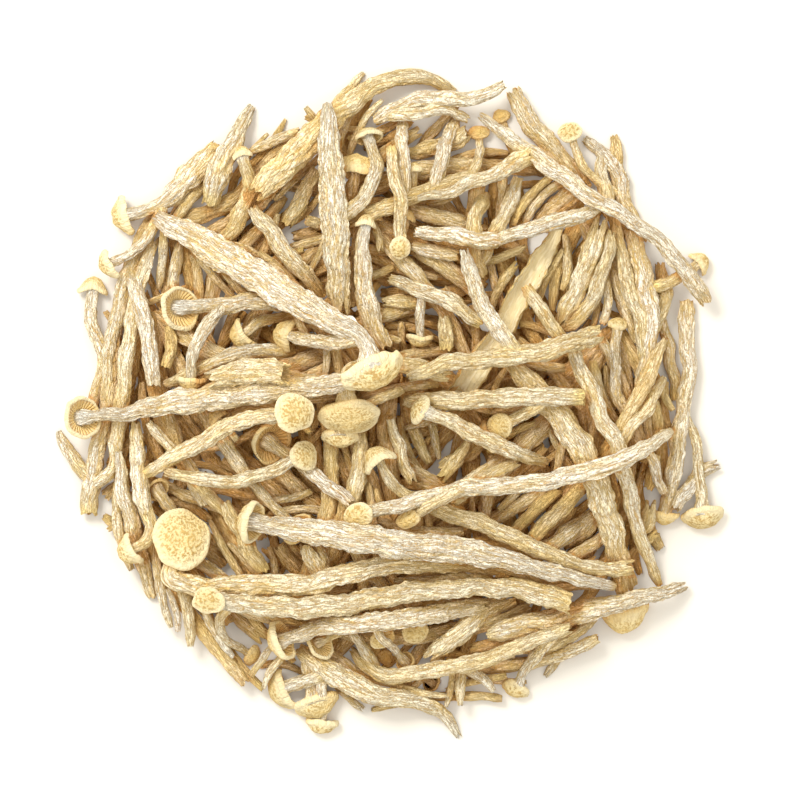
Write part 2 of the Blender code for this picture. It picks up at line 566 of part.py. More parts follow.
def stem_rings(shape, knots, sides):
    """Rings of points round the stem, from the foot to the cap end."""
    along = distances(knots)
    rings = []
    for index, (x, y, z, radius) in enumerate(knots):
        before, after = max(index - 1, 0), min(index + 1, len(knots) - 1)
        rise = math.atan2(knots[after, 2] - knots[before, 2], along[after] - along[before])
        _, right, up = frame(heading_at(knots, index), rise)
        outline = ring_shape(sides, shape["open"], TWIST_PER_MM * along[index])
        rings.append([np.array([x, y, z]) + radius * (a * right + b * up) for a, b in outline])
    return rings


def cap_rings(shape, knots, sides):
    """Rings of points round the neck's bend and the cap, from the stem's end to the cap's crown."""
    heading = heading_at(knots, len(knots) - 1)
    width, depth, pose = shape["cap"]
    rise, curl = math.radians(POSES[pose][0]), POSES[pose][1]
    phase = TWIST_PER_MM * distances(knots)[-1]
    places = neck(shape, knots[-1, :3], heading, 2 if abs(rise) > 0.3 else 1)
    rings = []
    for point, turned in places:
        _, right, up = frame(heading, turned)
        outline = ring_shape(sides, False, phase)
        rings.append([point + knots[-1, 3] * (a * right + b * up) for a, b in outline])
    foot, radius = places[-1][0], width / 2
    along, right, up = frame(heading, rise)
    circle = [(math.cos(phase + math.tau * side / sides), math.sin(phase + math.tau * side / sides))
              for side in range(sides)]
    profile = [
        (CAP_UNDER, cap_top(CAP_UNDER, curl) - cap_wall(CAP_UNDER, radius)),
        (1.0, cap_top(1.0, curl) - CAP_RIM_DROP * cap_wall(1.0, radius)),
        (CAP_SHOULDER, cap_top(CAP_SHOULDER, curl)),
    ]
    for share, height in profile:
        rings.append([foot + height * radius * along + share * (radius * a * right + depth / 2 * b * up)
                      for a, b in circle])
    return rings + [[foot + cap_top(0, curl) * radius * along]]


def skin(rings):
    """A closed mesh through the rings, pressed flat and standing on the floor. The last ring may be one point."""
    mesh = bmesh.new()
    rows = []
    for ring in rings:
        pressed = [(x * MM, y * MM, max(z * FLATNESS, 0) * MM) for x, y, z in ring]
        rows.append([mesh.verts.new(point) for point in pressed])
    for lower, upper in zip(rows, rows[1:]):
        for index in range(len(lower)):
            after = (index + 1) % len(lower)
            if len(upper) == 1:
                mesh.faces.new([lower[index], upper[0], lower[after]])
            else:
                mesh.faces.new([lower[index], upper[index], upper[after], lower[after]])
    for row in (rows[0], rows[-1]):
        if len(row) > 1:
            mesh.faces.new(row)
    bmesh.ops.recalc_face_normals(mesh, faces=mesh.faces)
    return mesh


def finish(name, tint):
    """The dried skin of one object's mushrooms."""
    material = bpy.data.materials.new(f"{name}_skin")
    material.use_nodes = True
    shader = material.node_tree.nodes["Principled BSDF"]
    shader.inputs["Base Color"].default_value = (*TINTS[tint], 1)
    shader.inputs["Roughness"].default_value = ROUGHNESS
    shader.inputs["Metallic"].default_value = 0.0
    return material


def mushroom_object(name, shape, knots, sides, shift):
    """One mushroom as an object of its own."""
    rings = stem_rings(shape, knots, sides)
    if shape["cap"]:
        rings += cap_rings(shape, knots, sides)
    built = skin([[point - shift for point in ring] for ring in rings])
    data = bpy.data.meshes.new(name)
    built.to_mesh(data)
    built.free()
    data.shade_smooth()
    data.set_sharp_from_angle(angle=math.radians(SHARP_ANGLE))
    made = bpy.data.objects.new(name, data)
    bpy.context.scene.collection.objects.link(made)
    return made


def join_group(first, others):
    """Joins mushrooms that grew together into the first one's body."""
    if not others:
        return
    group = bpy.data.collections.new(f"{first.name}_joined")
    bpy.context.scene.collection.children.link(group)
    for other in others:
        bpy.context.scene.collection.objects.unlink(other)
        group.objects.link(other)
    union = first.modifiers.new("joined", "BOOLEAN")
    union.operation = "UNION"
    union.operand_type = "COLLECTION"
    union.collection = group
    for solver in ("EXACT", "MANIFOLD"):
        union.solver = solver
        bpy.context.view_layer.update()
        joined = bpy.data.meshes.new_from_object(first.evaluated_get(bpy.context.evaluated_depsgraph_get()))
        if joined.polygons:
            break
    first.modifiers.clear()
    first.data = joined
    keep_outer_body(joined)
    for other in others:
        bpy.data.objects.remove(other)
    bpy.data.collections.remove(group)


def keep_outer_body(data):
    """Drops the shells that a join leaves besides the outer body: sealed hollows and loose scraps."""
    mesh = bmesh.new()
    mesh.from_mesh(data)
    bmesh.ops.triangulate(mesh, faces=mesh.faces)
    left, shells = set(mesh.faces), []
    while left:
        edge_of_search = [left.pop()]
        shell = list(edge_of_search)
        while edge_of_search:
            edges = [edge for edge in edge_of_search.pop().edges if len(edge.link_faces) == 2]
            near = {face for edge in edges for face in edge.link_faces} & left
            left -= near
            edge_of_search += near
            shell += near
        shells.append(shell)
    outer = max(shells, key=enclosed_volume)
    bmesh.ops.delete(mesh, geom=[face for shell in shells if shell is not outer for face in shell], context="FACES")
    mesh.to_mesh(data)
    mesh.free()


def enclosed_volume(faces):
    """The volume inside some faces that close on each other, negative for a hollow."""
    total = 0.0
    for face in faces:
        corners = [vert.co for vert in face.verts]
        total += sum(corners[0].dot(a.cross(b)) for a, b in zip(corners[1:], corners[2:])) / 6
    return total


def heap():
    """Builds the whole bunch, from the floor up."""
    placed = np.empty((0, 4))
    groups = {}
    for name, shapes in {**tufts(), **LOWER, **UPPER}.items():
        spacing = TUFT_KNOT_SPACING if name.startswith("tuft") else KNOT_SPACING
        groups[name] = settle_group(shapes, placed, spacing)
        placed = np.vstack([placed, *(samples_of(shape, knots) for shape, knots in groups[name])])
    lowest, highest = (placed[:, :2] - placed[:, 3:]).min(axis=0), (placed[:, :2] + placed[:, 3:]).max(axis=0)
    shift = np.array([*(lowest + highest) / 2, 0])
    for name, settled in groups.items():
        made = [mushroom_object(f"{name}_{index}" if index else name, shape, knots, stem_sides(name, shape), shift)
                for index, (shape, knots) in enumerate(settled)]
        join_group(made[0], made[1:])
        made[0].data.materials.clear()
        made[0].data.materials.append(finish(name, settled[0][0]["tint"]))


for leftover in list(bpy.data.objects):
    bpy.data.objects.remove(leftover)
heap()
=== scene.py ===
"""A bunch of dried beech mushrooms: the fine skins of the whole heap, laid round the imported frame.

The heap is settled by the same tables and the same rule as its solids, so each fine mushroom lies where its solid
does. Lengths in the tables are in millimetres; meshes are in metres.
"""

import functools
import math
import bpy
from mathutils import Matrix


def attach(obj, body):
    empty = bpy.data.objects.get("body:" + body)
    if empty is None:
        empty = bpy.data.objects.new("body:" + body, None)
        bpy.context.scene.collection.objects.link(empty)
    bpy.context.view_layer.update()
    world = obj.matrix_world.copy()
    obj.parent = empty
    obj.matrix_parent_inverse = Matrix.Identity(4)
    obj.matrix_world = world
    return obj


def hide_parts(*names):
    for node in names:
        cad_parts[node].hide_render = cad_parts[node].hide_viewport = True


bl_info = {
    "name": "Bunch of dried beech mushrooms",
    "version": (1, 0, 0),
    "blender": (4, 5, 0),
    "location": "3D View > Sidebar > Mushrooms",
    "description": "Furrowed stems, gilled caps and split ends of a loose heap of dried beech mushrooms",
    "category": "Add Mesh",
}

import bpy
import numpy as np

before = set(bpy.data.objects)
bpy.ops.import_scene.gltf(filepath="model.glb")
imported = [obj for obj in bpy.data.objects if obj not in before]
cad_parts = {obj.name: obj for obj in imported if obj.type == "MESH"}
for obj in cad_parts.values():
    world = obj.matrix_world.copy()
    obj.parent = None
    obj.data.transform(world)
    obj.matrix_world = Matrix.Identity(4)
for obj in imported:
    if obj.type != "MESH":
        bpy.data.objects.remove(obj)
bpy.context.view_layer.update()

MM = 0.001
HEAP_RADIUS = 97.0
FLATNESS = 0.78
GAP = 0.42
SINK = 0.95

# Stems
SWELL = 1.1
TWIST_PER_MM = 0.012
OPEN_FROM = -205
OPEN_SWEEP = 230
KNOT_SPACING = 11.0
COURSE_STEPS = 24

# Caps, as shares of the cap's radius, but for the least wall
CAP_DOME = 0.38
CAP_LIFT = 0.02
CAP_CENTRE_WALL = 0.34
CAP_RIM_WALL = 0.20
LEAST_WALL = 0.9
CAP_UNDER = 0.90
NECK_BEND = 1.4
NECK_BEND_PER_WIDTH = 0.45

# Settling
SAMPLE_SPACING = 1.2
CAP_RING_SPACING = 1.1
CAP_SAMPLE_SPACING = 1.3
CAP_SAMPLE_REACH = 0.95
BALL_MARGIN = 0.1
STIFFNESS = 0.15
RAISING_ROUNDS = 60
ROOT_REACH = 1.5
SPINE_SPOTS = 200

# Tufts at the bottom of the heap
TUFTS = 10
TUFT_MEMBERS = 5
TUFT_KNOT_SPACING = 13.0
TUFT_SEED = 65
TUFT_REACH = 0.80
TUFT_TURN = (0.15, 0.70)
TUFT_BEND = (0.3, 1.0)
TUFT_SPREAD = 0.36
TUFT_LENGTHS = (52, 84)
TUFT_WIDTHS = (4.2, 6.4)
TUFT_BELLY = (0.95, 1.05, 1.0, 0.8, 0.62)
TUFT_FOOT = 0.75
TUFT_MARGIN = 11.0
TUFT_CAP_SHARE = 0.4
TUFT_CAP_WIDTHS = (7, 11)
TUFT_CAP_DEPTH = 0.75
WOBBLE = 0.08

# Fine skins
SKIN_SEED = 5
THINNER = 0.90
DENTS = ((4.2, 0.06), (1.7, 0.065))
DENT_STRETCH = 0.6
WAVE_LENGTH = 14.0
WAVE_EASE = 6.0
NECK_STEPS = 10
SMOOTHING = 8
WIDER = 1.04
FLATTER = 0.94
FINE_OPEN_WALL = 0.22
RIBS = ((2.5, 0.62), (1.35, 0.38))
RIB_DRIFT_LENGTH = 18.0
RIB_FADE_LENGTH = 5.0
RIB_DRIFT = 0.9
LUMP_LENGTH = 9.0
FORK_SHARE = 0.3
END_REACH = 1.6
NECK_FLARE = {"dome": 0.2, "tilted": 1.8, "edge": 0.3, "hook": 0.35, "side": 0.5, "gills": 0.35}
NECK_FLARE_LENGTH = 1.3
MOST_NECK = 0.62
WHITE_NECK = (1.2, 2.6)
YELLOW_FOOT = (3, 10)
BROWN_FOOT = (2, 7)
CAP_ROW = 0.9
LIP_TURNS = (-2.3, 1.25)
RIM_THICKER = 1.5
RIM_WAVE = 0.075
RIM_LIFT = 0.05
CAP_PUCKER = 0.034
GILL_ARCH = 0.05
GILL_RIDGE = 0.10
SIDE_CURL = {"edge": 0.5, "hook": 0.3, "tilted": 0.6}
SOFT_ANGLE = 70
GILLS = 30
BUMP = 0.8
FOOT_TAPER = 0.14
TIP_TAPER, TIP_TAPER_REACH = 0.22, 1.4

# The last two rows of a broken end: how far in each lies, as a share of the end's width, and its size
END_ROWS = ((0.42, 0.45), (0.10, 0.86))

# A skin's least and most sides, and the mm of a side of the stem, of a side of the cap and of a row
FINE_MESH = (20, 48, 0.52, 1.25, 0.66)
COARSE_MESH = (12, 20, 1.0, 2.2, 1.3)

# Patterns on the skins: the size of each in mm, and for some how far it is drawn out along a stem
STREAKS = (1.3, 0.07)
FIBRES = (0.95, 0.16)
THREADS = (0.55, 0.30)
GRIT = 0.55
PATCHES = 7.0
STIPPLE = 0.80
# Heights in mm over which the painted shade between the stems weakens towards the top of the heap.
HIGH_IN_HEAP = (12, 26)
SPECULAR = 0.35

# Loose stems
LOOSE_SEED = 11
LOOSE_GIVE = 0.8
LOOSE_PASSES = (
    (2.3, (40, 78), 150000, 36),
    (1.9, (28, 60), 200000, 22),
    (1.5, (18, 44), 250000, 12),
    (1.2, (14, 30), 200000, 9),
)
LOOSE_SPREAD = 0.92
LOOSE_BEND = 0.5
LOOSE_TOP = 24.0
LOOSE_TILT = 0.25
LOOSE_SPOTS = 34
LOOSE_DEPTH = 6.0
FLOOR_SEEN = 1.0
LOOSE_KNOTS = 9
LOOSE_PIECES = 8
DEPTH_REACH = 9
# How far round and out each point looks for what hides its sky, and how much an overhang hides it; the materials paint
# shade from this.
SKY_DIRECTIONS = 12
SKY_REACHES = (1.6, 3.0, 5.0, 8.0)
OVERHANG = (2.0, 6.0)
LOOSE_BELOW = 3.0
RIM_CEILING = 9.0
FLOOR_WEIGHT = 4.0
GAP_WEIGHT = 7.0
PLACED_STEP = 1.2
PLACED_RADII = (1.3, 2.0, 3.0)
PLACED_CLIMB = 1
PLACED_CROSSING = 25.0
PLACED_WEIGHT = 0.3
PLACED_STIFFNESS = 2.5
GAP_LEVELS = 46
BELLY_AT = (0, 0.3, 0.8, 1)
PLACED_BELLY = (0.95, 1.05, 0.95, 0.85)
LOOSE_BELLY = (0.85, 1.05, 0.9, 0.6)
LOOSE_WIDTHS = (0.9, 1.1)

# The stage
FLOOR_SIZE = 6.0
FLOOR_DROP = 0.05
PHOTO_CENTRE = (3.0, 2.4)
PHOTO_FIELD = 240.0
PHOTO_LEVEL = 22.0
SENSOR = 36.0
KEY_PLACE = (-0.55, 0.65, 0.95)
KEY_TURN = (-41, -30)
KEY_SIZE = 0.45
KEY_COLOUR = (1.0, 0.99, 0.965)
ROOM_COLOUR = (1.0, 0.975, 0.93, 1)
FLOOR_ROUGHNESS = 0.8

# Cap poses: how far the cap's axis rises above the stem's line, in degrees, and how far its rim curls back.
POSES = {
    "dome": (68.0, 0.20),
    "tilted": (38.0, 0.25),
    "edge": (4.0, 0.36),
    "hook": (8.0, 0.75),
    "side": (-28.0, 0.30),
    "gills": (-62.0, 0.25),
}


def mushroom(tint, cap, *course, open_stem=False):
    """One mushroom: cap is (width across the stem, depth, pose) or None, course is (x, y, width) from the cap on."""
    course = [(x, y, SWELL * width) for x, y, width in course]
    return {"tint": tint, "cap": cap, "course": course, "open": open_stem}


# Each entry is one object, the lowest first. In an entry, the first mushroom carries those after it.
LOWER = {
    "rim_pair_left": [
        mushroom("cream", None, (-70, 61, 4), (-78, 45, 5), (-82, 31, 5), (-85, 16, 5), (-85, 2, 5), (-87, -6, 5),
            (-90, -19, 5.4), (-91.5, -33, 5.8)),
        mushroom("cream", None, (-71, 52, 3), (-76, 38, 4.5), (-79, 20, 4.5), (-81, 3, 4.5), (-82, -6, 4.5),
            (-86, -24, 4)),
        mushroom("cream", (9, 6, "hook"), (-90, 38, 3), (-91, 29, 4), (-88, 19, 4), (-85, 10, 4)),
        mushroom("pale", None, (-101, -7, 2.4), (-96, -16, 4.4), (-89, -22, 4)),
        mushroom("pale", None, (-71, 6, 5), (-72, 14, 5), (-74, 26, 5), (-77, 37, 4.4), (-79, 42, 4)),
    ],
    "rim_t_cap_left": [
        mushroom("pale", (12, 6, "edge"), (-82, 58, 3.4), (-71, 61, 4.2), (-65, 66, 7), (-58, 73, 7.5),
            (-52, 80, 5)),
        mushroom("pale", (10, 6, "edge"), (-86, 43, 2.6), (-80, 46, 3), (-73, 52, 3.4), (-68, 62, 4)),
    ],
    "cap_right_rim": [
        mushroom("pale", (9.6, 5, "edge"), (83, -33.5, 3.2), (84.5, -28, 4), (86, -19, 5.2), (88, -6, 5),
            (89, 1, 4.6), (91, 13, 4.6), (90, 23, 5), (90, 33, 5)),
        mushroom("golden", (13, 8, "tilted"), (95, -34, 3.4), (94, -22, 3.6), (93, -11, 3), (90, -1, 3)),
    ],
    "cap_trio_below": [
        mushroom("cream", (8.4, 7.5, "dome"), (7.5, -68, 2.8), (3, -60, 3.4), (-6, -50, 4), (-12, -40, 4)),
        mushroom("cream", (8.4, 6, "dome"), (-2, -70, 2.4), (-6, -60, 3), (-9, -50, 3.4)),
        mushroom("pale", (6, 6, "gills"), (5, -77, 2.4), (-1, -71, 2.6), (-6, -60, 3)),
    ],
    "pale_mushroom_left_inner": [mushroom("pale", (8, 6, "gills"), (-70, -24, 2.6), (-68, -30, 4), (-60, -38, 4.4),
        (-50, -48, 4))],
    "upper_thin_stems": [
        mushroom("golden", None, (27, 71, 4), (12, 66, 4.6), (-2, 60, 5), (-14, 56, 4.4)),
        mushroom("pale", None, (4, 88, 3.2), (3.6, 77, 4), (5, 66, 3.6), (4, 61, 3)),
        mushroom("pale", None, (20, 88, 3.6), (16, 77, 4.4), (13, 67, 4)),
        mushroom("cream", (6.5, 4.5, "dome"), (27, 84, 2.4), (27, 76, 2.8), (24, 70, 3.2)),
    ],
    "upper_right_flat_stem": [
        mushroom("cream", None, (37, 97, 5.4), (41, 89, 6), (46, 82, 6), (53, 75, 5.4), (60, 66, 4.4)),
        mushroom("golden", (5.5, 4.5, "dome"), (34, 89, 2.2), (36, 80, 2.6), (45, 74, 3), (54, 73, 3)),
    ],
    "upper_right_dome": [
        mushroom("pale", None, (59, 82, 2.8), (66, 77, 4.6), (69, 70, 5.6), (71, 63, 5), (74, 57, 4.8),
            (77, 50, 4.4)),
        mushroom("golden", (7.4, 6.4, "dome"), (55, 84, 2.2), (56, 78, 2.6), (61, 70, 3), (70, 64, 3)),
        mushroom("orange", None, (68, 83, 3), (69, 77, 4), (70, 71, 3.4)),
        mushroom("cream", None, (64, 77, 3), (64.5, 68, 4.6), (68, 58, 4.6), (75, 51, 4)),
    ],
    "white_torn_cap": [mushroom("pale", (15, 11, "gills"), (-37, -10, 4), (-28, -16, 4), (-19, -23, 4.4),
        (-11, -29, 4))],
    "right_stem_far": [
        mushroom("pale", None, (73, 55, 5), (77, 38, 6), (79, 25, 5.6), (77, 12, 4.6), (75, -2, 4)),
        mushroom("golden", None, (67, 62, 3.4), (71, 41, 4.4), (75, 29, 4.4), (78, 14, 4)),
        mushroom("golden", None, (82, 44, 4), (84, 37, 5), (80, 26, 4.8), (77, 14, 3)),
        mushroom("golden", (8, 6, "hook"), (95, 45, 2.6), (90, 41, 3.4), (84, 38, 4), (78, 36, 4)),
    ],
    "right_white_stem": [mushroom("pale", (6, 5, "tilted"), (69, 26, 3), (68, 10, 3.6), (71, -3, 3.8),
        (77, -12, 3.4), (83, -26, 3))],
    "lower_right_brown_stem": [
        mushroom("orange", None, (61, -21, 4), (51, -31, 4.6), (42, -41, 4.4), (32, -54, 4)),
        mushroom("orange", None, (83, 21, 2), (79, 12, 4.4), (74, 2, 4.4), (67, -10, 4), (59, -23, 4)),
        mushroom("golden", None, (83, 9, 3), (76, -2, 3.6), (68, -12, 3.6), (59, -23, 3.6)),
        mushroom("cream", None, (62, -32, 4), (54, -38, 5.4), (47, -43, 5), (38, -49, 4)),
    ],
    "yellow_split_bundle": [
        mushroom("golden", None, (64, 58, 5), (60, 44, 6.4), (56, 35, 6), (51, 24, 5)),
        mushroom("golden", None, (67, 54, 3), (64, 40, 4.4), (58, 28, 4.4), (52, 22, 4)),
    ],
    "upper_golden_stem": [
        mushroom("golden", None, (29, 65, 4.2), (26, 58, 4.6), (25, 50, 4.4), (28, 40, 4)),
        mushroom("cream", None, (39, 70, 4.2), (35.5, 60, 4.6), (30, 50, 4), (27, 43, 4)),
    ],
    "open_stem": [
        mushroom("pale", None, (52, 56, 3), (46.5, 46, 6.6), (40.5, 36, 7.4), (34, 24.5, 7), (30, 17, 7.4),
            (24, 9, 8.6), (19, 2, 7.6), open_stem=True),
        mushroom("golden", None, (54, 16, 3.6), (50, 23, 4.2), (46, 29, 4.2), (42, 36, 4)),
    ],
    "right_broad_stem": [
        mushroom("cream", None, (36, 14, 6), (46, 3, 7.6), (55, -8, 7.6), (63, -25, 7.8), (67.5, -40, 7),
            (73, -55, 5)),
        mushroom("golden", (16, 8, "hook"), (71, -65, 4), (70.5, -59, 4), (70, -51, 4.4), (68, -42, 5)),
    ],
    "right_slim_stem": [mushroom("cream", None, (54, 20, 4), (61, 3, 5), (69, -14, 5), (75, -37, 4.4),
        (82, -54, 2.8))],
}
UPPER = {
    "left_lower_stem": [mushroom("cream", None, (-82, -13, 2.4), (-81, -23, 4.4), (-78, -36, 5), (-75.5, -46, 4.6),
        (-72, -58, 3.4))],
    "left_upright_stem": [
        mushroom("cream", None, (-77, -4, 4), (-76, -18, 5), (-75, -27, 5), (-73, -34, 4)),
        mushroom("golden", (10.5, 8, "hook"), (-80, -44, 2.8), (-76, -42, 3.6), (-72, -37, 4), (-74, -30, 4)),
    ],
    "forked_stem": [mushroom("cream", None, (-42, 92, 3), (-48, 80, 5.6), (-53, 68, 8), (-55, 61, 5))],
    "yellow_curved_stem": [mushroom("golden", (6, 5, "hook"), (-45, 78, 3), (-43, 70, 4.4), (-43, 62, 5),
        (-48, 54, 5.2), (-54, 48, 4))],
    "upper_left_club": [mushroom("cream", None, (-42, 61, 4), (-38, 57, 5.4), (-33, 48, 5), (-25, 40, 5),
        (-20, 34, 4))],
    "great_branch": [
        mushroom("golden", None, (20, 96, 2.6), (13.5, 99.5, 4.2), (8, 100.5, 4.6), (0, 99.5, 5), (-7, 96, 5.4),
            (-15, 90, 7), (-22, 83, 8.6), (-30, 75, 8.4), (-41, 64, 6)),
        mushroom("golden", None, (-8, 102, 2.2), (-14, 95, 3), (-21, 85, 4)),
    ],
    "twin_strands_top": [
        mushroom("cream", None, (35, 98, 3.4), (27, 94, 4), (20, 93, 4.6), (12, 94, 5), (5, 92, 4.6), (-5, 87, 4)),
        mushroom("cream", None, (24, 87.5, 2.8), (18, 90.5, 3.6), (8, 89, 4), (-2, 88, 4)),
    ],
    "small_dome_upper": [mushroom("golden", (6.2, 7.4, "dome"), (3, 48, 3.2), (3, 55, 4), (3, 63, 4.2),
        (1, 72, 3.6), (0, 79, 2.8))],
    "flared_stem_upper": [
        mushroom("cream", None, (64, 61, 4), (51, 56, 4.8), (42, 54, 4.4), (31, 50, 4)),
        mushroom("cream", None, (7, 53, 3.6), (15, 52.5, 4.6), (24, 51, 5), (33, 50.5, 5.4)),
    ],
    "long_stem_upper_right": [
        mushroom("pale", None, (27, 89, 2.6), (35, 82.5, 4), (48, 73, 5.2), (58, 65, 5), (66, 60, 4.6),
            (78, 53, 4.4), (86, 45, 4.8), (93, 37, 5.4), (96, 32, 5)),
        mushroom("golden", None, (8, 63, 2), (23, 67, 4), (36, 73, 5), (43, 77, 6.4)),
    ],
    "curled_cap_upper": [mushroom("pale", (6, 6, "hook"), (-7, 57, 3), (-8.5, 50, 4), (-8, 41, 5.4), (-7, 31, 6),
        (-4, 23, 6), (-1, 18, 5))],
    "mid_flared_stem": [
        mushroom("golden", None, (0, 39, 3.4), (8, 36, 4.6), (18, 32, 5), (28, 25, 4)),
        mushroom("pale", (8.4, 6, "edge"), (9, 20, 2.4), (9.2, 25, 2.8), (9.4, 30, 3), (9.5, 35, 3)),
    ],
    "gilled_cap_left": [
        mushroom("cream", (13.4, 13, "gills"), (-64, 30.5, 3), (-55, 30.5, 4.8), (-41, 32, 5), (-30, 31, 4.4)),
        mushroom("cream", (9, 6, "edge"), (-60, 7, 2.6), (-59, 17, 3.6), (-55, 25, 4.2), (-50, 31, 4)),
    ],
    "furrowed_club": [
        mushroom("cream", None, (-19, 92, 3.6), (-18, 76, 7), (-17, 61, 8.4), (-16, 46, 7.8), (-15, 28, 6.2)),
        mushroom("cream", (9, 6.4, "side"), (-7, 83, 2.6), (-4, 73, 4.4), (-7, 65, 4.6), (-15, 56, 4.4)),
    ],
    "dome_pair_middle": [
        mushroom("golden", (18.6, 10.4, "dome"), (-11.4, -3.2, 4.4), (-12.6, 3, 4.4), (-13, 9.4, 4.6),
            (-8, 13.6, 4.8), (3, 13, 5), (18, 10, 5)),
        mushroom("golden", (11.4, 6.4, "tilted"), (-15, -9.6, 3), (-15, -4, 3.4), (-14, 3, 3.6), (-13, 8.4, 3.6)),
    ],
    "yellow_stem_middle": [
        mushroom("golden", None, (4, 2, 4.6), (15, 2, 5.4), (35, 3, 5.6), (50, 3.5, 5.6), (59, 3, 5.2)),
        mushroom("golden", (8.4, 8, "dome"), (33, -5.5, 3), (38, -3, 3.6), (43, 0, 4), (48, 3, 4)),
    ],
    "long_left_mushroom": [mushroom("pale", (12.6, 12, "gills"), (-93.4, -3, 3.4), (-85, -2, 4), (-76, -1, 4.6),
        (-63, 2, 7.4), (-45, 4, 7.4), (-27, 6, 6.6), (-12, 8, 5))],
    "round_dome_left": [mushroom("golden", (12, 12.5, "dome"), (-28.5, -3.2, 4), (-35, -1.4, 4.6), (-45, -4.2, 4.8),
        (-60, -12, 5), (-74, -20, 3.6))],
    "oval_dome_left": [mushroom("golden", (9.8, 7.8, "dome"), (-25.6, -14.4, 3), (-31, -16.5, 3.6), (-38, -20, 4.2),
        (-48, -22, 4.2), (-60, -21, 3.8), (-68, -19, 2.8))],
    "hook_cap_middle": [mushroom("golden", (11, 7, "hook"), (-4.5, -14, 2.6), (-1, -21, 3), (5, -26, 3.8),
        (13, -30, 4.6), (28, -35, 5.2), (43, -42, 5.4), (55, -46.5, 4.4), (66, -49, 4.4), (74, -48, 5.6))],
    "edge_cap_middle": [mushroom("golden", (9, 6, "tilted"), (8.2, -0.4, 3), (14, -2, 4), (22, -6, 4.8),
        (34, -12, 4.8), (47, -16.5, 3.4))],
    "yellow_end_stem_right": [
        mushroom("golden", None, (5, 9, 4), (16, 13, 5), (33, 15, 5.6), (46, 17, 5.8), (56, 20, 5.8),
            (63, 22.5, 6)),
        mushroom("cream", None, (22, 48, 3.6), (26, 35, 5), (32, 24, 5), (39, 16, 4.4)),
    ],
    "furrowed_stem_lower_right": [mushroom("pale", None, (90, -54, 3.6), (78, -57, 4.6), (64, -60, 6),
        (50, -64, 7.4), (40, -66, 7), (29, -69, 4.2))],
    "hooked_stem_below": [
        mushroom("golden", None, (-12, -73, 2.4), (-9, -78, 4), (-1, -81, 4.8), (9, -80, 5), (19, -78, 4.8),
            (29, -76, 4.8), (41, -71, 4.2), (55, -66, 3.6)),
        mushroom("cream", (9, 6, "tilted"), (38, -86, 2.6), (41, -79, 3.2), (45, -74, 4), (50, -68, 3.6)),
    ],
    "folded_stem_below": [
        mushroom("cream", None, (21, -100, 2.4), (18.5, -95, 4), (14, -91, 4.4), (8, -88.5, 4.6), (-1, -88, 5.8),
            (-11, -84, 7), (-21, -78, 6.6), (-28, -73, 4.4)),
        mushroom("cream", (14, 6, "edge"), (-34, -86, 3.4), (-29, -84, 4.2), (-24, -82, 4.4), (-18, -80, 4)),
        mushroom("pale", (15, 8, "tilted"), (-22, -91, 3), (-24, -85, 3.4), (-25, -80, 4), (-25, -75, 4)),
        mushroom("pale", (10, 6, "edge"), (-21, -97, 2.6), (-20.5, -90, 3), (-20.5, -84, 3.4), (-20, -79, 3.6)),
    ],
    "side_cap_below": [mushroom("pale", (12.6, 10, "side"), (-34, -71, 3.2), (-27, -67.5, 4.6), (-11, -65, 5.6),
        (4, -63.5, 5.8), (18, -61, 6), (30, -59.5, 5))],
    "great_golden_cap": [mushroom("golden", (17, 20, "dome"), (-60.5, -40.8, 5.2), (-67, -45, 5.2),
        (-67.5, -49.5, 5.6), (-61, -53.2, 5.8), (-52, -54, 6), (-40, -53, 6.2), (-30, -53.5, 6.2), (-20, -52, 6.2),
        (-10, -49, 6), (3, -47, 5.6), (18, -47, 5.4), (33, -49, 4))],
    "yellow_end_stem_below": [
        mushroom("golden", (8.4, 10, "dome"), (-54.6, -57.3, 4), (-48, -58.5, 5.4), (-30, -60, 6.2),
            (-15, -59, 6.2), (3, -56, 6), (18, -54.5, 5.4), (33, -54, 5.6), (45, -56, 6.4), (55, -59, 7.2)),
        mushroom("golden", (7, 5, "tilted"), (-41.5, -75.5, 2.2), (-46, -72.5, 2.4), (-51, -68, 2.6), (-51, -62, 3),
            (-47, -58.5, 3.4)),
    ],
    "slim_dome_middle": [
        mushroom("cream", (8, 9.4, "dome"), (-10, -32, 3.4), (-3, -30.5, 4), (8, -28, 5), (23, -24, 5),
            (40, -23, 5.2), (55, -20, 5.4), (70, -15.5, 5.6), (85, -7, 3)),
        mushroom("golden", (5.6, 7.6, "dome"), (6.3, -34.4, 2.6), (8.4, -31, 3), (15, -27.6, 3.6),
            (24, -23.9, 3.8)),
    ],
    "longest_mushroom": [mushroom("pale", (13.6, 10, "side"), (-43, -34, 3.4), (-37, -35, 5), (-28, -36.5, 7),
        (-15, -38, 8.2), (3, -41, 8.2), (23, -43, 7.6), (36, -46, 5.8), (51, -50, 4.6), (68, -54, 2.8))],
    "broad_pale_mushroom": [
        mushroom("pale", (19, 12, "tilted"), (-4.6, 9.6, 4.6), (-5.4, 16, 4.8), (-9.4, 21.6, 5.2), (-17, 26, 7),
            (-27, 31.4, 9), (-42, 41, 9.4), (-57, 50, 8.6), (-71, 58, 4.6)),
        mushroom("pale", (11, 8, "hook"), (-33, 22.5, 3), (-28, 21.5, 3.8), (-20, 19.5, 4.4), (-10, 20, 4.2)),
    ],
}


# The lowest mushrooms: tufts that grew from one foot, with their feet and directions spread evenly round the heap

def tufts():
    """The tufts at the bottom of the heap, as further entries of the tables above."""
    draw = np.random.default_rng(TUFT_SEED)
    golden_angle = math.pi * (3 - math.sqrt(5))
    found = {}
    for index in range(TUFTS):
        around = index * golden_angle
        out = TUFT_REACH * HEAP_RADIUS * math.sqrt((index + 0.9) / TUFTS)
        side = 1 if index % 2 else -1
        heading = around + side * (math.pi / 2 + draw.uniform(*TUFT_TURN))
        found[f"tuft_{index + 1:02d}"] = [
            tuft_member(draw, out * unit(around), heading + spread, side * draw.uniform(*TUFT_BEND))
            for spread in member_spreads(draw)
        ]
    return found


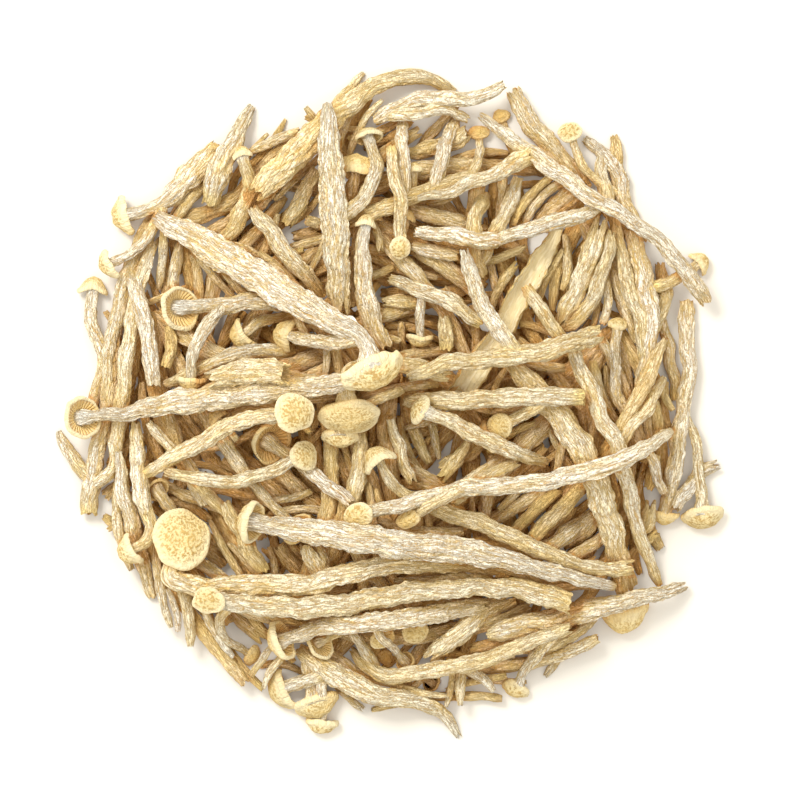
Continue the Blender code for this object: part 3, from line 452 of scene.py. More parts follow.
def member_spreads(draw):
    """How far each member of a tuft leans to one side, in radians."""
    middle = (TUFT_MEMBERS - 1) / 2
    return [(index - middle) * TUFT_SPREAD + draw.uniform(-WOBBLE, WOBBLE) for index in range(TUFT_MEMBERS)]


def tuft_member(draw, foot, heading, bend):
    """One bent mushroom of a tuft, from its cap to the shared foot."""
    length, width = draw.uniform(*TUFT_LENGTHS), draw.uniform(*TUFT_WIDTHS)
    step = length / len(TUFT_BELLY)
    points = [(*foot, TUFT_FOOT * width)]
    for belly in TUFT_BELLY:
        heading += bend / len(TUFT_BELLY) + draw.uniform(-WOBBLE, WOBBLE)
        ahead = np.array(points[-1][:2]) + step * unit(heading)
        if np.hypot(*ahead) > HEAP_RADIUS - TUFT_MARGIN:
            break
        points.append((*ahead, belly * width))
    has_cap = len(points) > 3 and draw.random() < TUFT_CAP_SHARE
    size = draw.uniform(*TUFT_CAP_WIDTHS)
    pose = ("edge", "hook", "dome", "gills", "tilted")[draw.integers(5)]
    tint = ("cream", "cream", "golden", "pale")[draw.integers(4)]
    return mushroom(tint, (size, TUFT_CAP_DEPTH * size, pose) if has_cap else None, *reversed(points))


# The course of a stem

def smooth_course(course):
    """Close points (x, y, width) along a smooth curve through those of the course, from the cap end to the foot."""
    points = np.array(course, float)
    ends = np.vstack([2 * points[0] - points[1], points, 2 * points[-1] - points[-2]])
    found = []
    for before, start, end, after in zip(ends, ends[1:], ends[2:], ends[3:]):
        first, second = end - before, 2 * before - 5 * start + 4 * end - after
        third = 3 * start - before - 3 * end + after
        for t in np.linspace(0, 1, COURSE_STEPS, endpoint=False):
            found.append(start + 0.5 * (first * t + second * t**2 + third * t**3))
    return np.array(found + [points[-1]])


def distances(points):
    return np.concatenate([[0], np.cumsum(np.hypot(*np.diff(points[:, :2], axis=0).T))])


def at_distance(points, wanted):
    along = distances(points)
    return np.column_stack([np.interp(wanted, along, column) for column in points.T])


def finely(points):
    total = distances(points)[-1]
    return at_distance(points, np.linspace(0, total, max(8, round(total / SAMPLE_SPACING))))


def unit(angle):
    return np.array([math.cos(angle), math.sin(angle)])


# The cap, in its own frame: across the stem, along the cap's axis, and square to both

def neck_radius(shape):
    """The radius of the bend that turns the stem's line to the cap's."""
    return NECK_BEND + NECK_BEND_PER_WIDTH * shape["course"][0][2]


def neck_run(shape):
    """How far the bend and the cap's foot reach ahead of the stem's end, seen from above."""
    if not shape["cap"]:
        return 0.0
    rise = math.radians(POSES[shape["cap"][2]][0])
    return neck_radius(shape) * abs(math.sin(rise))


def directions(heading, rise):
    """The directions along, to the right and up of something that points along heading and rises by rise radians."""
    along = np.array([*(unit(heading) * math.cos(rise)), math.sin(rise)])
    right = np.array([math.sin(heading), -math.cos(heading), 0])
    return along, right, np.cross(right, along)


def neck(shape, end, heading, steps):
    """The places of the neck's bend, as (point, rise), from the stem's end to the foot of the cap."""
    rise, radius = math.radians(POSES[shape["cap"][2]][0]), neck_radius(shape)
    found = []
    for step in range(1, steps + 1):
        turned = rise * step / steps
        ahead, up = radius * abs(math.sin(turned)), radius * (1 - math.cos(turned)) * np.sign(rise)
        found.append((end + np.array([*(ahead * unit(heading)), up]), turned))
    return found


def cap_top(share, curl):
    """Height of the cap's upper face above the neck's end, at a share of its radius, as a share of its radius."""
    return CAP_DOME * (1 - share**2) + CAP_LIFT - curl * share**3


def cap_wall(share, radius):
    """Thickness of the cap at a share of its radius, as a share of its radius."""
    return max(CAP_CENTRE_WALL + (CAP_RIM_WALL - CAP_CENTRE_WALL) * share**2, LEAST_WALL / radius)


def cap_samples(shape, foot, heading):
    """Points and radii of small balls that fill the cap."""
    width, depth, pose = shape["cap"]
    rise, curl = math.radians(POSES[pose][0]), POSES[pose][1]
    along, right, up = directions(heading, rise)
    radius = width / 2
    found = []
    for share in np.linspace(0, CAP_SAMPLE_REACH, max(2, round(radius / CAP_RING_SPACING)) + 1):
        wall = cap_wall(share, radius)
        middle = (cap_top(share, curl) - wall / 2) * radius
        count = max(1, round(share * radius * math.tau / CAP_SAMPLE_SPACING))
        for around in np.arange(count) * math.tau / count:
            outward = radius * math.cos(around) * right + depth / 2 * math.sin(around) * up
            spot = foot + middle * along + share * outward
            found.append([*spot, wall * radius / 2 + BALL_MARGIN])
    return np.array(found)


# Settling: every mushroom comes down on those below it

def reach_above(samples, placed):
    """The least height at which each sample clears what is placed and the floor."""
    floor = samples[:, 3] - SINK
    if not len(placed):
        return floor
    apart = np.hypot(samples[:, None, 0] - placed[None, :, 0], samples[:, None, 1] - placed[None, :, 1])
    reach = samples[:, None, 3] + placed[None, :, 3] + GAP
    over = placed[None, :, 2] + np.sqrt(np.maximum(reach**2 - apart**2, 0))
    return np.maximum(floor, np.where(apart < reach, over, -np.inf).max(axis=1))


def taut_line(along, heights):
    """The heights of a line drawn taut over all the heights."""
    corners = []
    for place in zip(along, heights):
        while len(corners) > 1 and slope(corners[-2], place) >= slope(corners[-2], corners[-1]):
            corners.pop()
        corners.append(place)
    return np.array(corners)


def slope(start, end):
    return (end[1] - start[1]) / max(end[0] - start[0], 1e-9)


def resting_line(corners, along):
    """The straight line that a rigid stick rests on: the taut line's stretch under its middle."""
    middle = (along[0] + along[-1]) / 2
    index = min(max(int(np.searchsorted(corners[:, 0], middle)), 1), len(corners) - 1)
    start, end = corners[index - 1], corners[index]
    return start[1] + slope(start, end) * (along - start[0])


def settle(shape, placed, spacing):
    """Finds where one mushroom comes to rest. Returns its knots (x, y, z, radius) from the foot to the cap end."""
    course = smooth_course(shape["course"])
    total = distances(course)[-1]
    run = neck_run(shape)
    count = max(4, round((total - run) / spacing) + 1)
    flat = at_distance(course, np.linspace(total, run, count))
    along = distances(flat)
    fine = finely(flat)
    spots = np.column_stack([fine[:, :2], np.zeros(len(fine)), fine[:, 2] / 2])
    needed = reach_above(spots, placed)
    if shape["cap"]:
        ahead = head(shape, np.array([*flat[-1, :2], 0.0]), heading_at(flat, len(flat) - 1))
        needed[-1] = max(needed[-1], (reach_above(ahead, placed) - ahead[:, 2]).max())
    heights = relax(distances(fine), needed, along)
    return np.column_stack([flat[:, :2], heights, flat[:, 2] / 2])


def relax(fine, needed, along):
    """Heights at the knots of a stiff stem that clears all that is needed and sags a little between its supports."""
    corners = taut_line(fine, needed)
    taut = np.interp(along, corners[:, 0], corners[:, 1])
    heights = STIFFNESS * np.maximum(resting_line(corners, along), taut) + (1 - STIFFNESS) * taut
    heights[1:-1] = 0.25 * heights[:-2] + 0.5 * heights[1:-1] + 0.25 * heights[2:]
    for _ in range(RAISING_ROUNDS):
        short = needed - np.interp(fine, along, heights)
        if short.max() < 1e-6:
            break
        for place in np.flatnonzero(short > 0):
            near = np.searchsorted(along, fine[place], side="right") - 1
            near = min(max(near, 0), len(along) - 2)
            lack = needed[place] - np.interp(fine[place], along, heights)
            heights[near : near + 2] += max(lack, 0)
    return heights


def heading_at(points, index):
    """The direction of travel from the foot on, at one knot, seen from above."""
    before, after = points[max(index - 1, 0)], points[min(index + 1, len(points) - 1)]
    return math.atan2(after[1] - before[1], after[0] - before[0])


def head(shape, end, heading):
    """Samples of the neck's bend and the cap, for a stem that ends at this point."""
    places = neck(shape, end, heading, 4)
    bend = [[*point, shape["course"][0][2] / 2] for point, _ in places]
    return np.vstack([bend, cap_samples(shape, places[-1][0], heading)])


def samples_of(shape, knots):
    """Points and radii of balls that fill one settled mushroom."""
    spots = finely(knots)
    if not shape["cap"]:
        return spots
    return np.vstack([spots, head(shape, knots[-1, :3], heading_at(knots, len(knots) - 1))])


def rooted(shape, spine):
    """The same mushroom with its foot drawn to the middle of the stem that carries it, and that place on the stem."""
    *course, foot = shape["course"]
    joint = int(np.hypot(*(spine[:, :2] - foot[:2]).T).argmin())
    x, y = spine[joint, :2]
    if math.hypot(x - foot[0], y - foot[1]) > ROOT_REACH:
        course.append(foot)
    return {**shape, "course": [*course, (x, y, foot[2])]}, joint


def settle_group(shapes, placed, spacing):
    """Settles mushrooms that stayed joined: each later one has its foot in the first one's stem.

    Returns (mushroom, knots) for each of them.
    """
    first = settle(shapes[0], placed, spacing)
    spine = at_distance(first, np.linspace(0, distances(first)[-1], SPINE_SPOTS))
    settled = [(shapes[0], first)]
    joints = []
    for shape in shapes[1:]:
        shape, joint = rooted(shape, spine)
        settled.append((shape, settle(shape, placed, spacing)))
        joints.append(joint)
    lift = max([0.0, *(knots[0, 2] - spine[joint, 2] for joint, (_, knots) in zip(joints, settled[1:]))])
    first[:, 2] += lift
    for joint, (_, knots) in zip(joints, settled[1:]):
        share = 1 - distances(knots) / distances(knots)[-1]
        knots[:, 2] += (spine[joint, 2] + lift - knots[0, 2]) * share
    return settled


@functools.lru_cache(maxsize=1)
def settled_heap():
    """The heap at rest: its groups of (mushroom, knots), the balls that fill each group, and the heap's middle."""
    placed = np.empty((0, 4))
    groups, balls = {}, {}
    for name, shapes in {**tufts(), **LOWER, **UPPER}.items():
        spacing = TUFT_KNOT_SPACING if name.startswith("tuft") else KNOT_SPACING
        groups[name] = settle_group(shapes, placed, spacing)
        balls[name] = np.vstack([samples_of(shape, knots) for shape, knots in groups[name]])
        placed = np.vstack([placed, balls[name]])
    lowest, highest = (placed[:, :2] - placed[:, 3:]).min(axis=0), (placed[:, :2] + placed[:, 3:]).max(axis=0)
    return groups, balls, (lowest + highest) / 2


# Between them the photo shows these thinner ones: (tint, cap, width, course)
PLACED = (
    ("golden", None, 5.4, ((-64, 56), (-52, 61), (-45, 65), (-38, 73), (-30, 79), (-24, 83))),
    ("cream", None, 5, ((-57, 52), (-46, 58), (-38, 64), (-32, 71), (-26, 76))),
    ("pale", None, 3, ((-44, 77), (-35, 81), (-27, 84))),
    ("orange", None, 3.6, ((-62, 51), (-62, 44), (-60, 35))),
    ("orange", None, 3.6, ((-67, 25), (-66, 19), (-68, 12))),
    ("golden", None, 5, ((4, 77), (15, 79), (24, 84))),
    ("cream", (6, 5, "edge"), 2.6, ((7, 73), (7, 68), (7, 62))),
    ("pale", (13, 7, "edge"), 3.4, ((-10, 74), (-11, 68), (-12, 61))),
    ("cream", None, 5, ((-22, 73), (-26, 65), (-32, 55))),
    ("cream", None, 4, ((-30, 52), (-25, 53), (-20, 54))),
    ("golden", (6, 5, "hook"), 2.4, ((-6, 58), (-4, 53), (-3, 47))),
    ("golden", (6, 5, "hook"), 2.4, ((5, 59), (4, 54), (2, 48))),
    ("golden", None, 5, ((27, 73), (26, 62), (24, 52))),
    ("pale", None, 4, ((6, 49), (14, 47), (21, 46))),
    ("cream", None, 7, ((60, 68), (52, 62), (45, 55))),
    ("cream", (10, 6, "hook"), 3.2, ((-46, 21), (-42, 24), (-36, 27), (-27, 29))),
    ("cream", None, 4.4, ((-68, 7), (-58, 11), (-50, 15), (-40, 17), (-29, 17))),
    ("golden", None, 7.4, ((-55, 8), (-42, 11), (-30, 10))),
    ("cream", None, 3.2, ((-73, -4), (-68, -10), (-62, -16), (-57, -22))),
    ("golden", (7, 5, "hook"), 2.4, ((-53, -2), (-50, -5), (-46, -10))),
    ("golden", (8, 6, "tilted"), 3, ((-22, 12), (-26, 10), (-32, 8))),
    ("golden", None, 3.6, ((0, -3), (2, -10), (4, -16), (7, -23))),
    ("golden", None, 4.5, ((33, -7), (24, -13), (15, -19))),
    ("cream", None, 4.5, ((39, -16), (28, -22), (18, -28))),
    ("golden", None, 4, ((24, -10), (20, -16), (15, -22))),
    ("golden", None, 4.5, ((16, 28), (17, 23), (17, 17))),
    ("golden", None, 4, ((-3, 35), (3, 35), (10, 35))),
    ("golden", None, 4, ((-3, 32), (4, 32), (10, 31))),
    ("cream", None, 3.6, ((63, 23), (70, 8), (76, -10))),
    ("pale", None, 3.6, ((81, 32), (85, 17), (87, 2))),
    ("pale", None, 4.5, ((100, -17), (94, -20), (90, -25), (86, -31))),
    ("golden", None, 3.6, ((81, -14), (80, -19), (78, -25))),
    ("pale", None, 4, ((-50, -60), (-45, -65), (-38, -71))),
    ("cream", None, 7, ((-19, -52), (-22, -46), (-25, -40))),
    ("golden", (12, 8, "gills"), 3, ((-22, -71), (-16, -68), (-11, -65))),
    ("pale", (6, 5, "gills"), 2.4, ((13, -84), (9, -81), (4, -78))),
    ("cream", (5, 5, "dome"), 2, ((-1, -76), (-2, -73), (-2, -70))),
    ("pale", None, 3.6, ((-12, -67), (-8, -73), (-4, -79))),
    ("cream", None, 6, ((11, -76), (21, -68), (30, -61), (38, -57))),
    ("cream", None, 6, ((44, -40), (50, -34), (56, -28))),
    ("pale", None, 6, ((52, -42), (58, -37), (64, -31))),
    ("golden", None, 5, ((79, -28), (78, -34), (75, -38))),
    ("golden", None, 5, ((-50, -28), (-45, -38), (-38, -50))),
    ("golden", None, 5, ((-34, -41), (-30, -47), (-26, -52))),
)


# Smooth random fields

class Ripples:
    """A smooth random field over some coordinates, from about -1 to 1: a sum of cosines of nearly one wavelength."""

    def __init__(self, draw, wavelength, dimensions, terms=7):
        direction = draw.normal(size=(terms, dimensions))
        direction /= np.linalg.norm(direction, axis=1, keepdims=True)
        self.waves = direction * math.tau / (wavelength * draw.uniform(0.7, 1.5, (terms, 1)))
        self.phases = draw.uniform(0, math.tau, terms)

    def __call__(self, *coordinates):
        spot = np.stack(np.broadcast_arrays(*coordinates), axis=-1)
        return np.cos(spot @ self.waves.T + self.phases).sum(axis=-1) / math.sqrt(len(self.phases))


def ramp(value, low, high):
    """0 at low, 1 at high and smooth between them."""
    share = np.clip((value - low) / (high - low), 0, 1)
    return share * share * (3 - 2 * share)


# The fine line of one mushroom's stem and neck

class Line:
    """The middle line of a settled mushroom, from its foot on through the bend of its neck."""

    def __init__(self, shape, knots, draw, waviness):
        fine = smooth_course(knots)
        along = distances(fine)
        wave = Ripples(draw, WAVE_LENGTH, 1)
        ease = ramp(along, 0, WAVE_EASE) * (1 - ramp(along, along[-1] - WAVE_EASE, along[-1]))
        self.heading = np.unwrap(np.arctan2(*np.gradient(fine[:, :2], axis=0).T[::-1]))
        sideways = waviness * ease * wave(along)
        places = fine[:, :3].copy()
        places[:, 0] += sideways * np.sin(self.heading)
        places[:, 1] -= sideways * np.cos(self.heading)
        rise = np.arctan2(np.gradient(fine[:, 2]), np.gradient(along) + 1e-9)
        radius = np.maximum(THINNER * fine[:, 3], 0.5)
        self.stem_length = along[-1]
        self.cap_heading = heading_at(knots, len(knots) - 1)
        if shape["cap"]:
            bend = neck(shape, knots[-1, :3], self.cap_heading, NECK_STEPS)
            places = np.vstack([places, [point for point, _ in bend]])
            rise = np.concatenate([rise, [turned for _, turned in bend]])
            radius = np.concatenate([radius, np.full(NECK_STEPS, radius[-1])])
            turn = self.heading[-1] + math.remainder(self.cap_heading - self.heading[-1], math.tau)
            self.heading = np.concatenate([self.heading, np.full(NECK_STEPS, turn)])
        self.places, self.radius = places, radius
        self.rise = np.convolve(np.pad(rise, SMOOTHING, mode="edge"), np.ones(2 * SMOOTHING + 1) /
                                (2 * SMOOTHING + 1), mode="valid")
        self.run = np.concatenate([[0], np.cumsum(np.linalg.norm(np.diff(places, axis=0), axis=1))])
        self.length = self.run[-1]

    def at(self, run):
        """Places, the directions to the right and up, and radii at distances along the line."""
        pick = [np.interp(run, self.run, column) for column in (*self.places.T, self.heading, self.rise, self.radius)]
        x, y, z, heading, rise, radius = pick
        right = np.stack([np.sin(heading), -np.cos(heading), np.zeros_like(heading)], axis=-1)
        ahead = np.stack([np.cos(heading) * np.cos(rise), np.sin(heading) * np.cos(rise), np.sin(rise)], axis=-1)
        return np.stack([x, y, z], axis=-1), right, np.cross(right, ahead), radius


# The fine skin of one mushroom: rows of points round its line, each with its finish

def stem_outline(shape, sides):
    """The section of a stem of radius 1: across, up, the angle round it, and how far inside a split it lies."""
    if not shape["open"]:
        turn = math.tau * np.arange(sides) / sides
        return WIDER * np.cos(turn), FLATTER * np.sin(turn), turn, np.zeros(sides)
    half = sides // 2
    turn = np.radians(OPEN_FROM + OPEN_SWEEP * np.arange(half) / (half - 1))
    wall = 1 - FINE_OPEN_WALL * np.sin(np.linspace(0, np.pi, half)) ** 0.5
    across = np.concatenate([np.cos(turn), (wall * np.cos(turn))[::-1]])
    up = np.concatenate([np.sin(turn), (wall * np.sin(turn))[::-1]])
    inside = np.concatenate([np.zeros(half), np.sin(np.linspace(0, np.pi, half)) ** 0.3])
    return across, up, np.concatenate([turn, turn[::-1]]), inside


def furrows(draw, turn, run, girth, depth):
    """How deep the lengthwise furrows are, from 0 on a rib to 1, over the angle round a stem and along it."""
    total = np.zeros(np.broadcast(turn, run).shape)
    for rib, share in RIBS:
        count = max(4, round(girth / rib))
        drift = Ripples(draw, RIB_DRIFT_LENGTH, 1)
        fade = Ripples(draw, RIB_FADE_LENGTH, 3, 9)
        phase = draw.uniform(0, math.tau) + count / 2 * TWIST_PER_MM * 2.4 * run + RIB_DRIFT * drift(run)
        valley = (1 - np.abs(np.sin(count * turn / 2 + phase))) ** 1.4
        reach = girth / math.tau
        total += share * valley * np.clip(0.75 + 0.55 * fade(reach * np.cos(turn), reach * np.sin(turn), 0.35 * run),
                                          0.1, 1.3)
    return depth * total, np.clip(1.25 * total, 0, 1)


def torn_edge(draw, across, turn, width):
    """How far the edge of a broken end draws back, over the angle round it."""
    jag = Ripples(draw, 0.9, 2)
    back = width * (0.14 + 0.12 * jag(np.cos(turn), np.sin(turn)))
    if draw.random() < FORK_SHARE:
        back = back + width * draw.uniform(0.2, 0.8) * np.exp(-((across - draw.uniform(-0.5, 0.5)) / 0.2) ** 2)
    return np.clip(back, 0, 1.4 * width)


def neck_flare(shape, line):
    """How much a stem widens where it runs into its cap."""
    width, _, pose = shape["cap"]
    return max(0.0, min(NECK_FLARE[pose], MOST_NECK * width / (2 * line.radius[-1]) - 1))


def stem_rows(shape, line, sides, spacing, draw, sizes):
    """The rows of a stem from its foot to its tip or neck, as (points, grain, marks, zones, brown)."""
    across, up, turn, inside = stem_outline(shape, sides)
    girth = math.tau * float(np.interp(0.5 * line.length, line.run, line.radius))
    run = np.linspace(0, line.length, max(6, round(line.length / spacing)))[:, None] + np.zeros(sides)
    scale = np.ones_like(run)
    depths, shares = zip(*END_ROWS)
    foot_width, tip_width = 2 * line.radius[0], 2 * line.radius[-1]
    back = torn_edge(draw, across, turn, foot_width)
    run = run + back * (1 - ramp(run, 0, END_REACH * foot_width))
    run = np.vstack([*(run[0] + depth * foot_width for depth in depths), run])
    scale = np.vstack([*(np.full((1, sides), share) for share in shares), scale])
    if not shape["cap"]:
        back = torn_edge(draw, across, turn, tip_width)
        run = run - back * ramp(run, line.length - END_REACH * tip_width, line.length)
        run = np.vstack([run, *(run[-1] - depth * tip_width for depth in depths[::-1])])
        scale = np.vstack([scale, *(np.full((1, sides), share) for share in shares[::-1])])
        scale *= 1 - TIP_TAPER * ramp(run, line.length - TIP_TAPER_REACH * tip_width, line.length)
    else:
        flare = neck_flare(shape, line)
        scale *= 1 + flare * ramp(run, line.length - (NECK_FLARE_LENGTH + 0.6 * flare) * tip_width, line.length)
    scale *= 1 - FOOT_TAPER * (1 - ramp(run, 0, foot_width))
    places, right, upward, radius = line.at(run)
    furrow, depth_mark = furrows(draw, turn, run, girth, sizes.rib_depth)
    girth_radius = girth / math.tau
    round_x, round_y = girth_radius * np.cos(turn), girth_radius * np.sin(turn)
    swell = 1 + sizes.lumpiness * Ripples(draw, LUMP_LENGTH, 1)(run)
    for size, height in DENTS:
        swell = swell + height * Ripples(draw, size, 3, 9)(round_x, round_y, DENT_STRETCH * run)
    reach = (radius * scale * swell * (1 - furrow * (1 - inside)))[..., None]
    points = places + reach * (across[:, None] * right + up[:, None] * upward)
    seed = draw.uniform(0, 900)
    grain = np.stack([round_x + 0 * run, round_y + 0 * run, run + seed], axis=-1)
    patch = Ripples(draw, 9.0, 1)
    yellow_reach, white_reach = draw.uniform(*YELLOW_FOOT), draw.uniform(*WHITE_NECK) * tip_width
    yellow = (1 - ramp(run + 1.2 * patch(run), 0, yellow_reach)) * draw.choice([0.0, 0.5, 1.0], p=[0.35, 0.35, 0.3])
    yellow = np.maximum(yellow, 0.9 * np.where(inside > 0, 1 - inside, 0))
    if shape["open"]:
        edge = np.minimum(np.abs(turn - turn.min()), np.abs(turn - turn.max()))
        yellow = np.maximum(yellow, 1 - ramp(edge, 0.1, 0.55) + 0 * run)
    white = ramp(run, line.length - white_reach, line.length) if shape["cap"] else np.zeros_like(run)
    brown = 1 - ramp(run + 1.5 * patch(1.3 * run + 5), 0, draw.uniform(*BROWN_FOOT))
    brown = brown * draw.choice([0.0, 1.0], p=[0.5, 0.5])
    # The first mark is how deep a point lies in a furrow; the material paints the furrow colour there, partly as
    # shade.
    marks = np.stack([depth_mark * (1 - inside), yellow, white], axis=-1)
    zones = np.stack([0 * run, 0 * run, inside + 0 * run], axis=-1)
    return points, grain, marks, zones, brown


def cap_profile(radius, curl, neck_share, rows):
    """The cap's section from its neck by the gills and the rolled rim to near its crown, for each angle's curl.

    Each row has its share of the radius, how much it is a gill, a cap and a rim, and its height at each angle as a
    share of the radius.
    """
    rim_top = cap_top(CAP_UNDER, curl)
    rim_wall = RIM_THICKER * cap_wall(CAP_UNDER, radius)
    rim_under = rim_top - rim_wall
    found = []
    inner = CAP_UNDER + (1 - CAP_UNDER) * math.cos(LIP_TURNS[0]) - 0.01
    for share in np.linspace(0, 1, 7)[1:]:
        outward = neck_share + (inner - neck_share) * share
        arch = GILL_ARCH * math.sin(math.pi * share)
        found.append((outward, (rim_under + 0.45 * rim_wall) * share + arch, 1.0, 0.0, 0.0))
    for turn in np.linspace(*LIP_TURNS, 8):
        found.append((CAP_UNDER + (1 - CAP_UNDER) * math.cos(turn), rim_top - rim_wall / 2 + rim_wall / 2 *
                      math.sin(turn), 0.0, 1.0, 1.0))
    for share in np.linspace(CAP_UNDER, 0.10, rows):
        found.append((share, cap_top(share, curl), 0.0, 1.0, float(ramp(share, 0.72, CAP_UNDER))))
    shares, heights, gills, caps, rims = zip(*found)
    return [np.array(column, float)[:, None] for column in (shares, gills, caps, rims)] + [np.array(heights)]


def cap_rows(shape, line, knots, sides, draw):
    """The rows of the cap from the neck to the crown, as stem_rows gives them, and the crown's point."""
    width, depth, pose = shape["cap"]
    rise, curl = math.radians(POSES[pose][0]), POSES[pose][1]
    foot = neck(shape, knots[-1, :3], line.cap_heading, 1)[-1][0]
    ahead, right, upward = directions(line.cap_heading, rise)
    radius = width / 2
    turn = math.tau * np.arange(sides) / sides
    side = SIDE_CURL.get(pose, 1.0)
    curl = curl * (side + (1 - side) * np.cos(turn) ** 2)
    neck_share = (1 + neck_flare(shape, line)) * line.radius[-1] / radius
    outward, gill_share, cap_share, rim_share, height = cap_profile(radius, curl, neck_share,
                                                                    max(5, round(radius / CAP_ROW)))
    wave = Ripples(draw, 2.2, 2)
    notch = Ripples(draw, 0.9, 2)
    pucker = Ripples(draw, 0.62, 2)
    edge = wave(np.cos(turn), np.sin(turn)) + 0.45 * notch(np.cos(turn), np.sin(turn))
    margin = 1 + RIM_WAVE * outward**2 * edge
    lift = RIM_LIFT * outward**3 * wave(np.cos(turn) + 7, np.sin(turn)) + CAP_PUCKER * cap_share * pucker(
        outward * np.cos(turn), outward * np.sin(turn))
    gill = GILL_RIDGE / radius * gill_share * np.where(np.arange(sides) % 2, 1, -1) * ramp(outward, 0.3, 0.6)
    x, y = outward * margin * np.cos(turn), outward * margin * np.sin(turn)
    tall = (height + lift + gill)[..., None] * radius
    points = foot + tall * ahead + radius * x[..., None] * right + depth / 2 * y[..., None] * upward
    seed = draw.uniform(0, 900)
    grain = np.stack([radius * x, radius * y, seed + 0 * x], axis=-1)
    zones = np.stack([cap_share + 0 * x, gill_share + 0 * x, 0 * x], axis=-1)
    marks = np.stack([(1 - outward) * cap_share + 0 * x, 0 * x, rim_share + 0 * x], axis=-1)
    crown = foot + cap_top(0, 0) * radius * ahead
    return (points, grain, marks, zones, 0 * x), crown


def mushroom_skin(shape, knots, draw, sizes, fine):
    """The fine closed skin of one mushroom, as arrays of points, faces and what the materials read."""
    line = Line(shape, knots, draw, sizes.waviness if fine else 0.5 * sizes.waviness)
    girth = math.tau * max(float(line.radius.max()), 1.0)
    least, most, side, cap_side, spacing = FINE_MESH if fine else COARSE_MESH
    sides = round(girth / side)
    if shape["cap"]:
        sides = max(sides, round(math.pi * shape["cap"][0] / cap_side))
    sides = 2 * (min(max(sides, least), most) // 2)
    bands = [stem_rows(shape, line, sides, spacing, draw, sizes)]
    if shape["cap"]:
        head_rows, crown = cap_rows(shape, line, knots, sides, draw)
        bands.append(head_rows)
    rows = [np.concatenate([band[index] for band in bands]) for index in range(5)]
    count = len(rows[0])
    last = crown if shape["cap"] else rows[0][-1].mean(axis=0)
    ends = [rows[0][0].mean(axis=0), last]
    points = np.vstack([rows[0].reshape(-1, 3), ends])
    points[:, 2] = np.maximum(points[:, 2] * FLATNESS, 0)
    flat = [row.reshape(count * sides, -1) for row in rows[1:]]
    flat = [np.vstack([row, row[:sides].mean(axis=0), row[-sides:].mean(axis=0)]) for row in flat]
    index = np.arange(count * sides).reshape(count, sides)
    after = np.roll(index, -1, axis=1)
    quads = np.stack([index[:-1], after[:-1], after[1:], index[1:]], axis=-1).reshape(-1, 4)
    first, final = count * sides, count * sides + 1
    fans = [np.stack([np.full(sides, first), after[0], index[0]], axis=-1),
            np.stack([np.full(sides, final), index[-1], after[-1]], axis=-1)]
    shade = np.array([draw.uniform(-1, 1), draw.uniform(-1, 1)])
    grain, marks, zones, brown = flat
    tone = np.column_stack([np.tile(shade, (len(points), 1)), brown])
    # The depth entry holds how much sky the heap hides from each point; the material paints shade from it.
    return {"points": points, "quads": quads, "fans": np.vstack(fans), "grain": grain, "marks": marks,
            "zones": zones, "shade": tone, "depth": shelter(points), "tint": shape["tint"]}


def mean_top():
    """How high the heap reaches on average round each cell of a grid of 1 mm, pressed flat."""
    _, balls, _ = settled_heap()
    gaps = Gaps(np.vstack(list(balls.values())), (), LOOSE_PASSES[0][0])
    top = FLATNESS * gaps.top
    for axis in (0, 1):
        rolled = [np.roll(top, step, axis=axis) for step in range(-DEPTH_REACH, DEPTH_REACH + 1)]
        top = np.mean(rolled, axis=0)
    return top


def balls_along(spots, radius):
    return np.column_stack([spots, np.full(len(spots), radius)])


@functools.lru_cache(maxsize=1)
def heap_tops():
    """How high the whole heap reaches over each cell of a grid of 1 mm, pressed flat, and the grid's corner."""
    _, balls, _ = settled_heap()
    between, loose = loose_stems(bpy.context.scene.mushroom_sizes.loose_count)
    gaps = Gaps((), (), 1.0)
    for some in (*balls.values(), *(samples_of(*each) for each in between),
                 *(balls_along(*each) for each in loose)):
        for ball in some:
            gaps.cover(ball)
    return gaps.low, FLATNESS * gaps.top


def shelter(points):
    """How much of the sky the heap hides from each point, from 0 to 1: a look round over its tops. The materials paint
    shade from it.
    """
    low, top = heap_tops()
    x, y, z = points.T

    def rise(ahead_x, ahead_y):
        cells = [np.clip(np.round(place - corner).astype(int), 0, size - 1)
                 for place, corner, size in zip((x + ahead_x, y + ahead_y), low, top.shape)]
        return top[cells[0], cells[1]] - z

    hidden = np.zeros(len(points))
    for around in math.tau * np.arange(SKY_DIRECTIONS) / SKY_DIRECTIONS:
        steepest = np.zeros(len(points))
        for reach in SKY_REACHES:
            steepest = np.maximum(steepest, rise(reach * math.cos(around), reach * math.sin(around)) / reach)
        hidden += steepest / np.hypot(1, steepest) / SKY_DIRECTIONS
    return np.maximum(hidden, ramp(rise(0, 0), *OVERHANG))


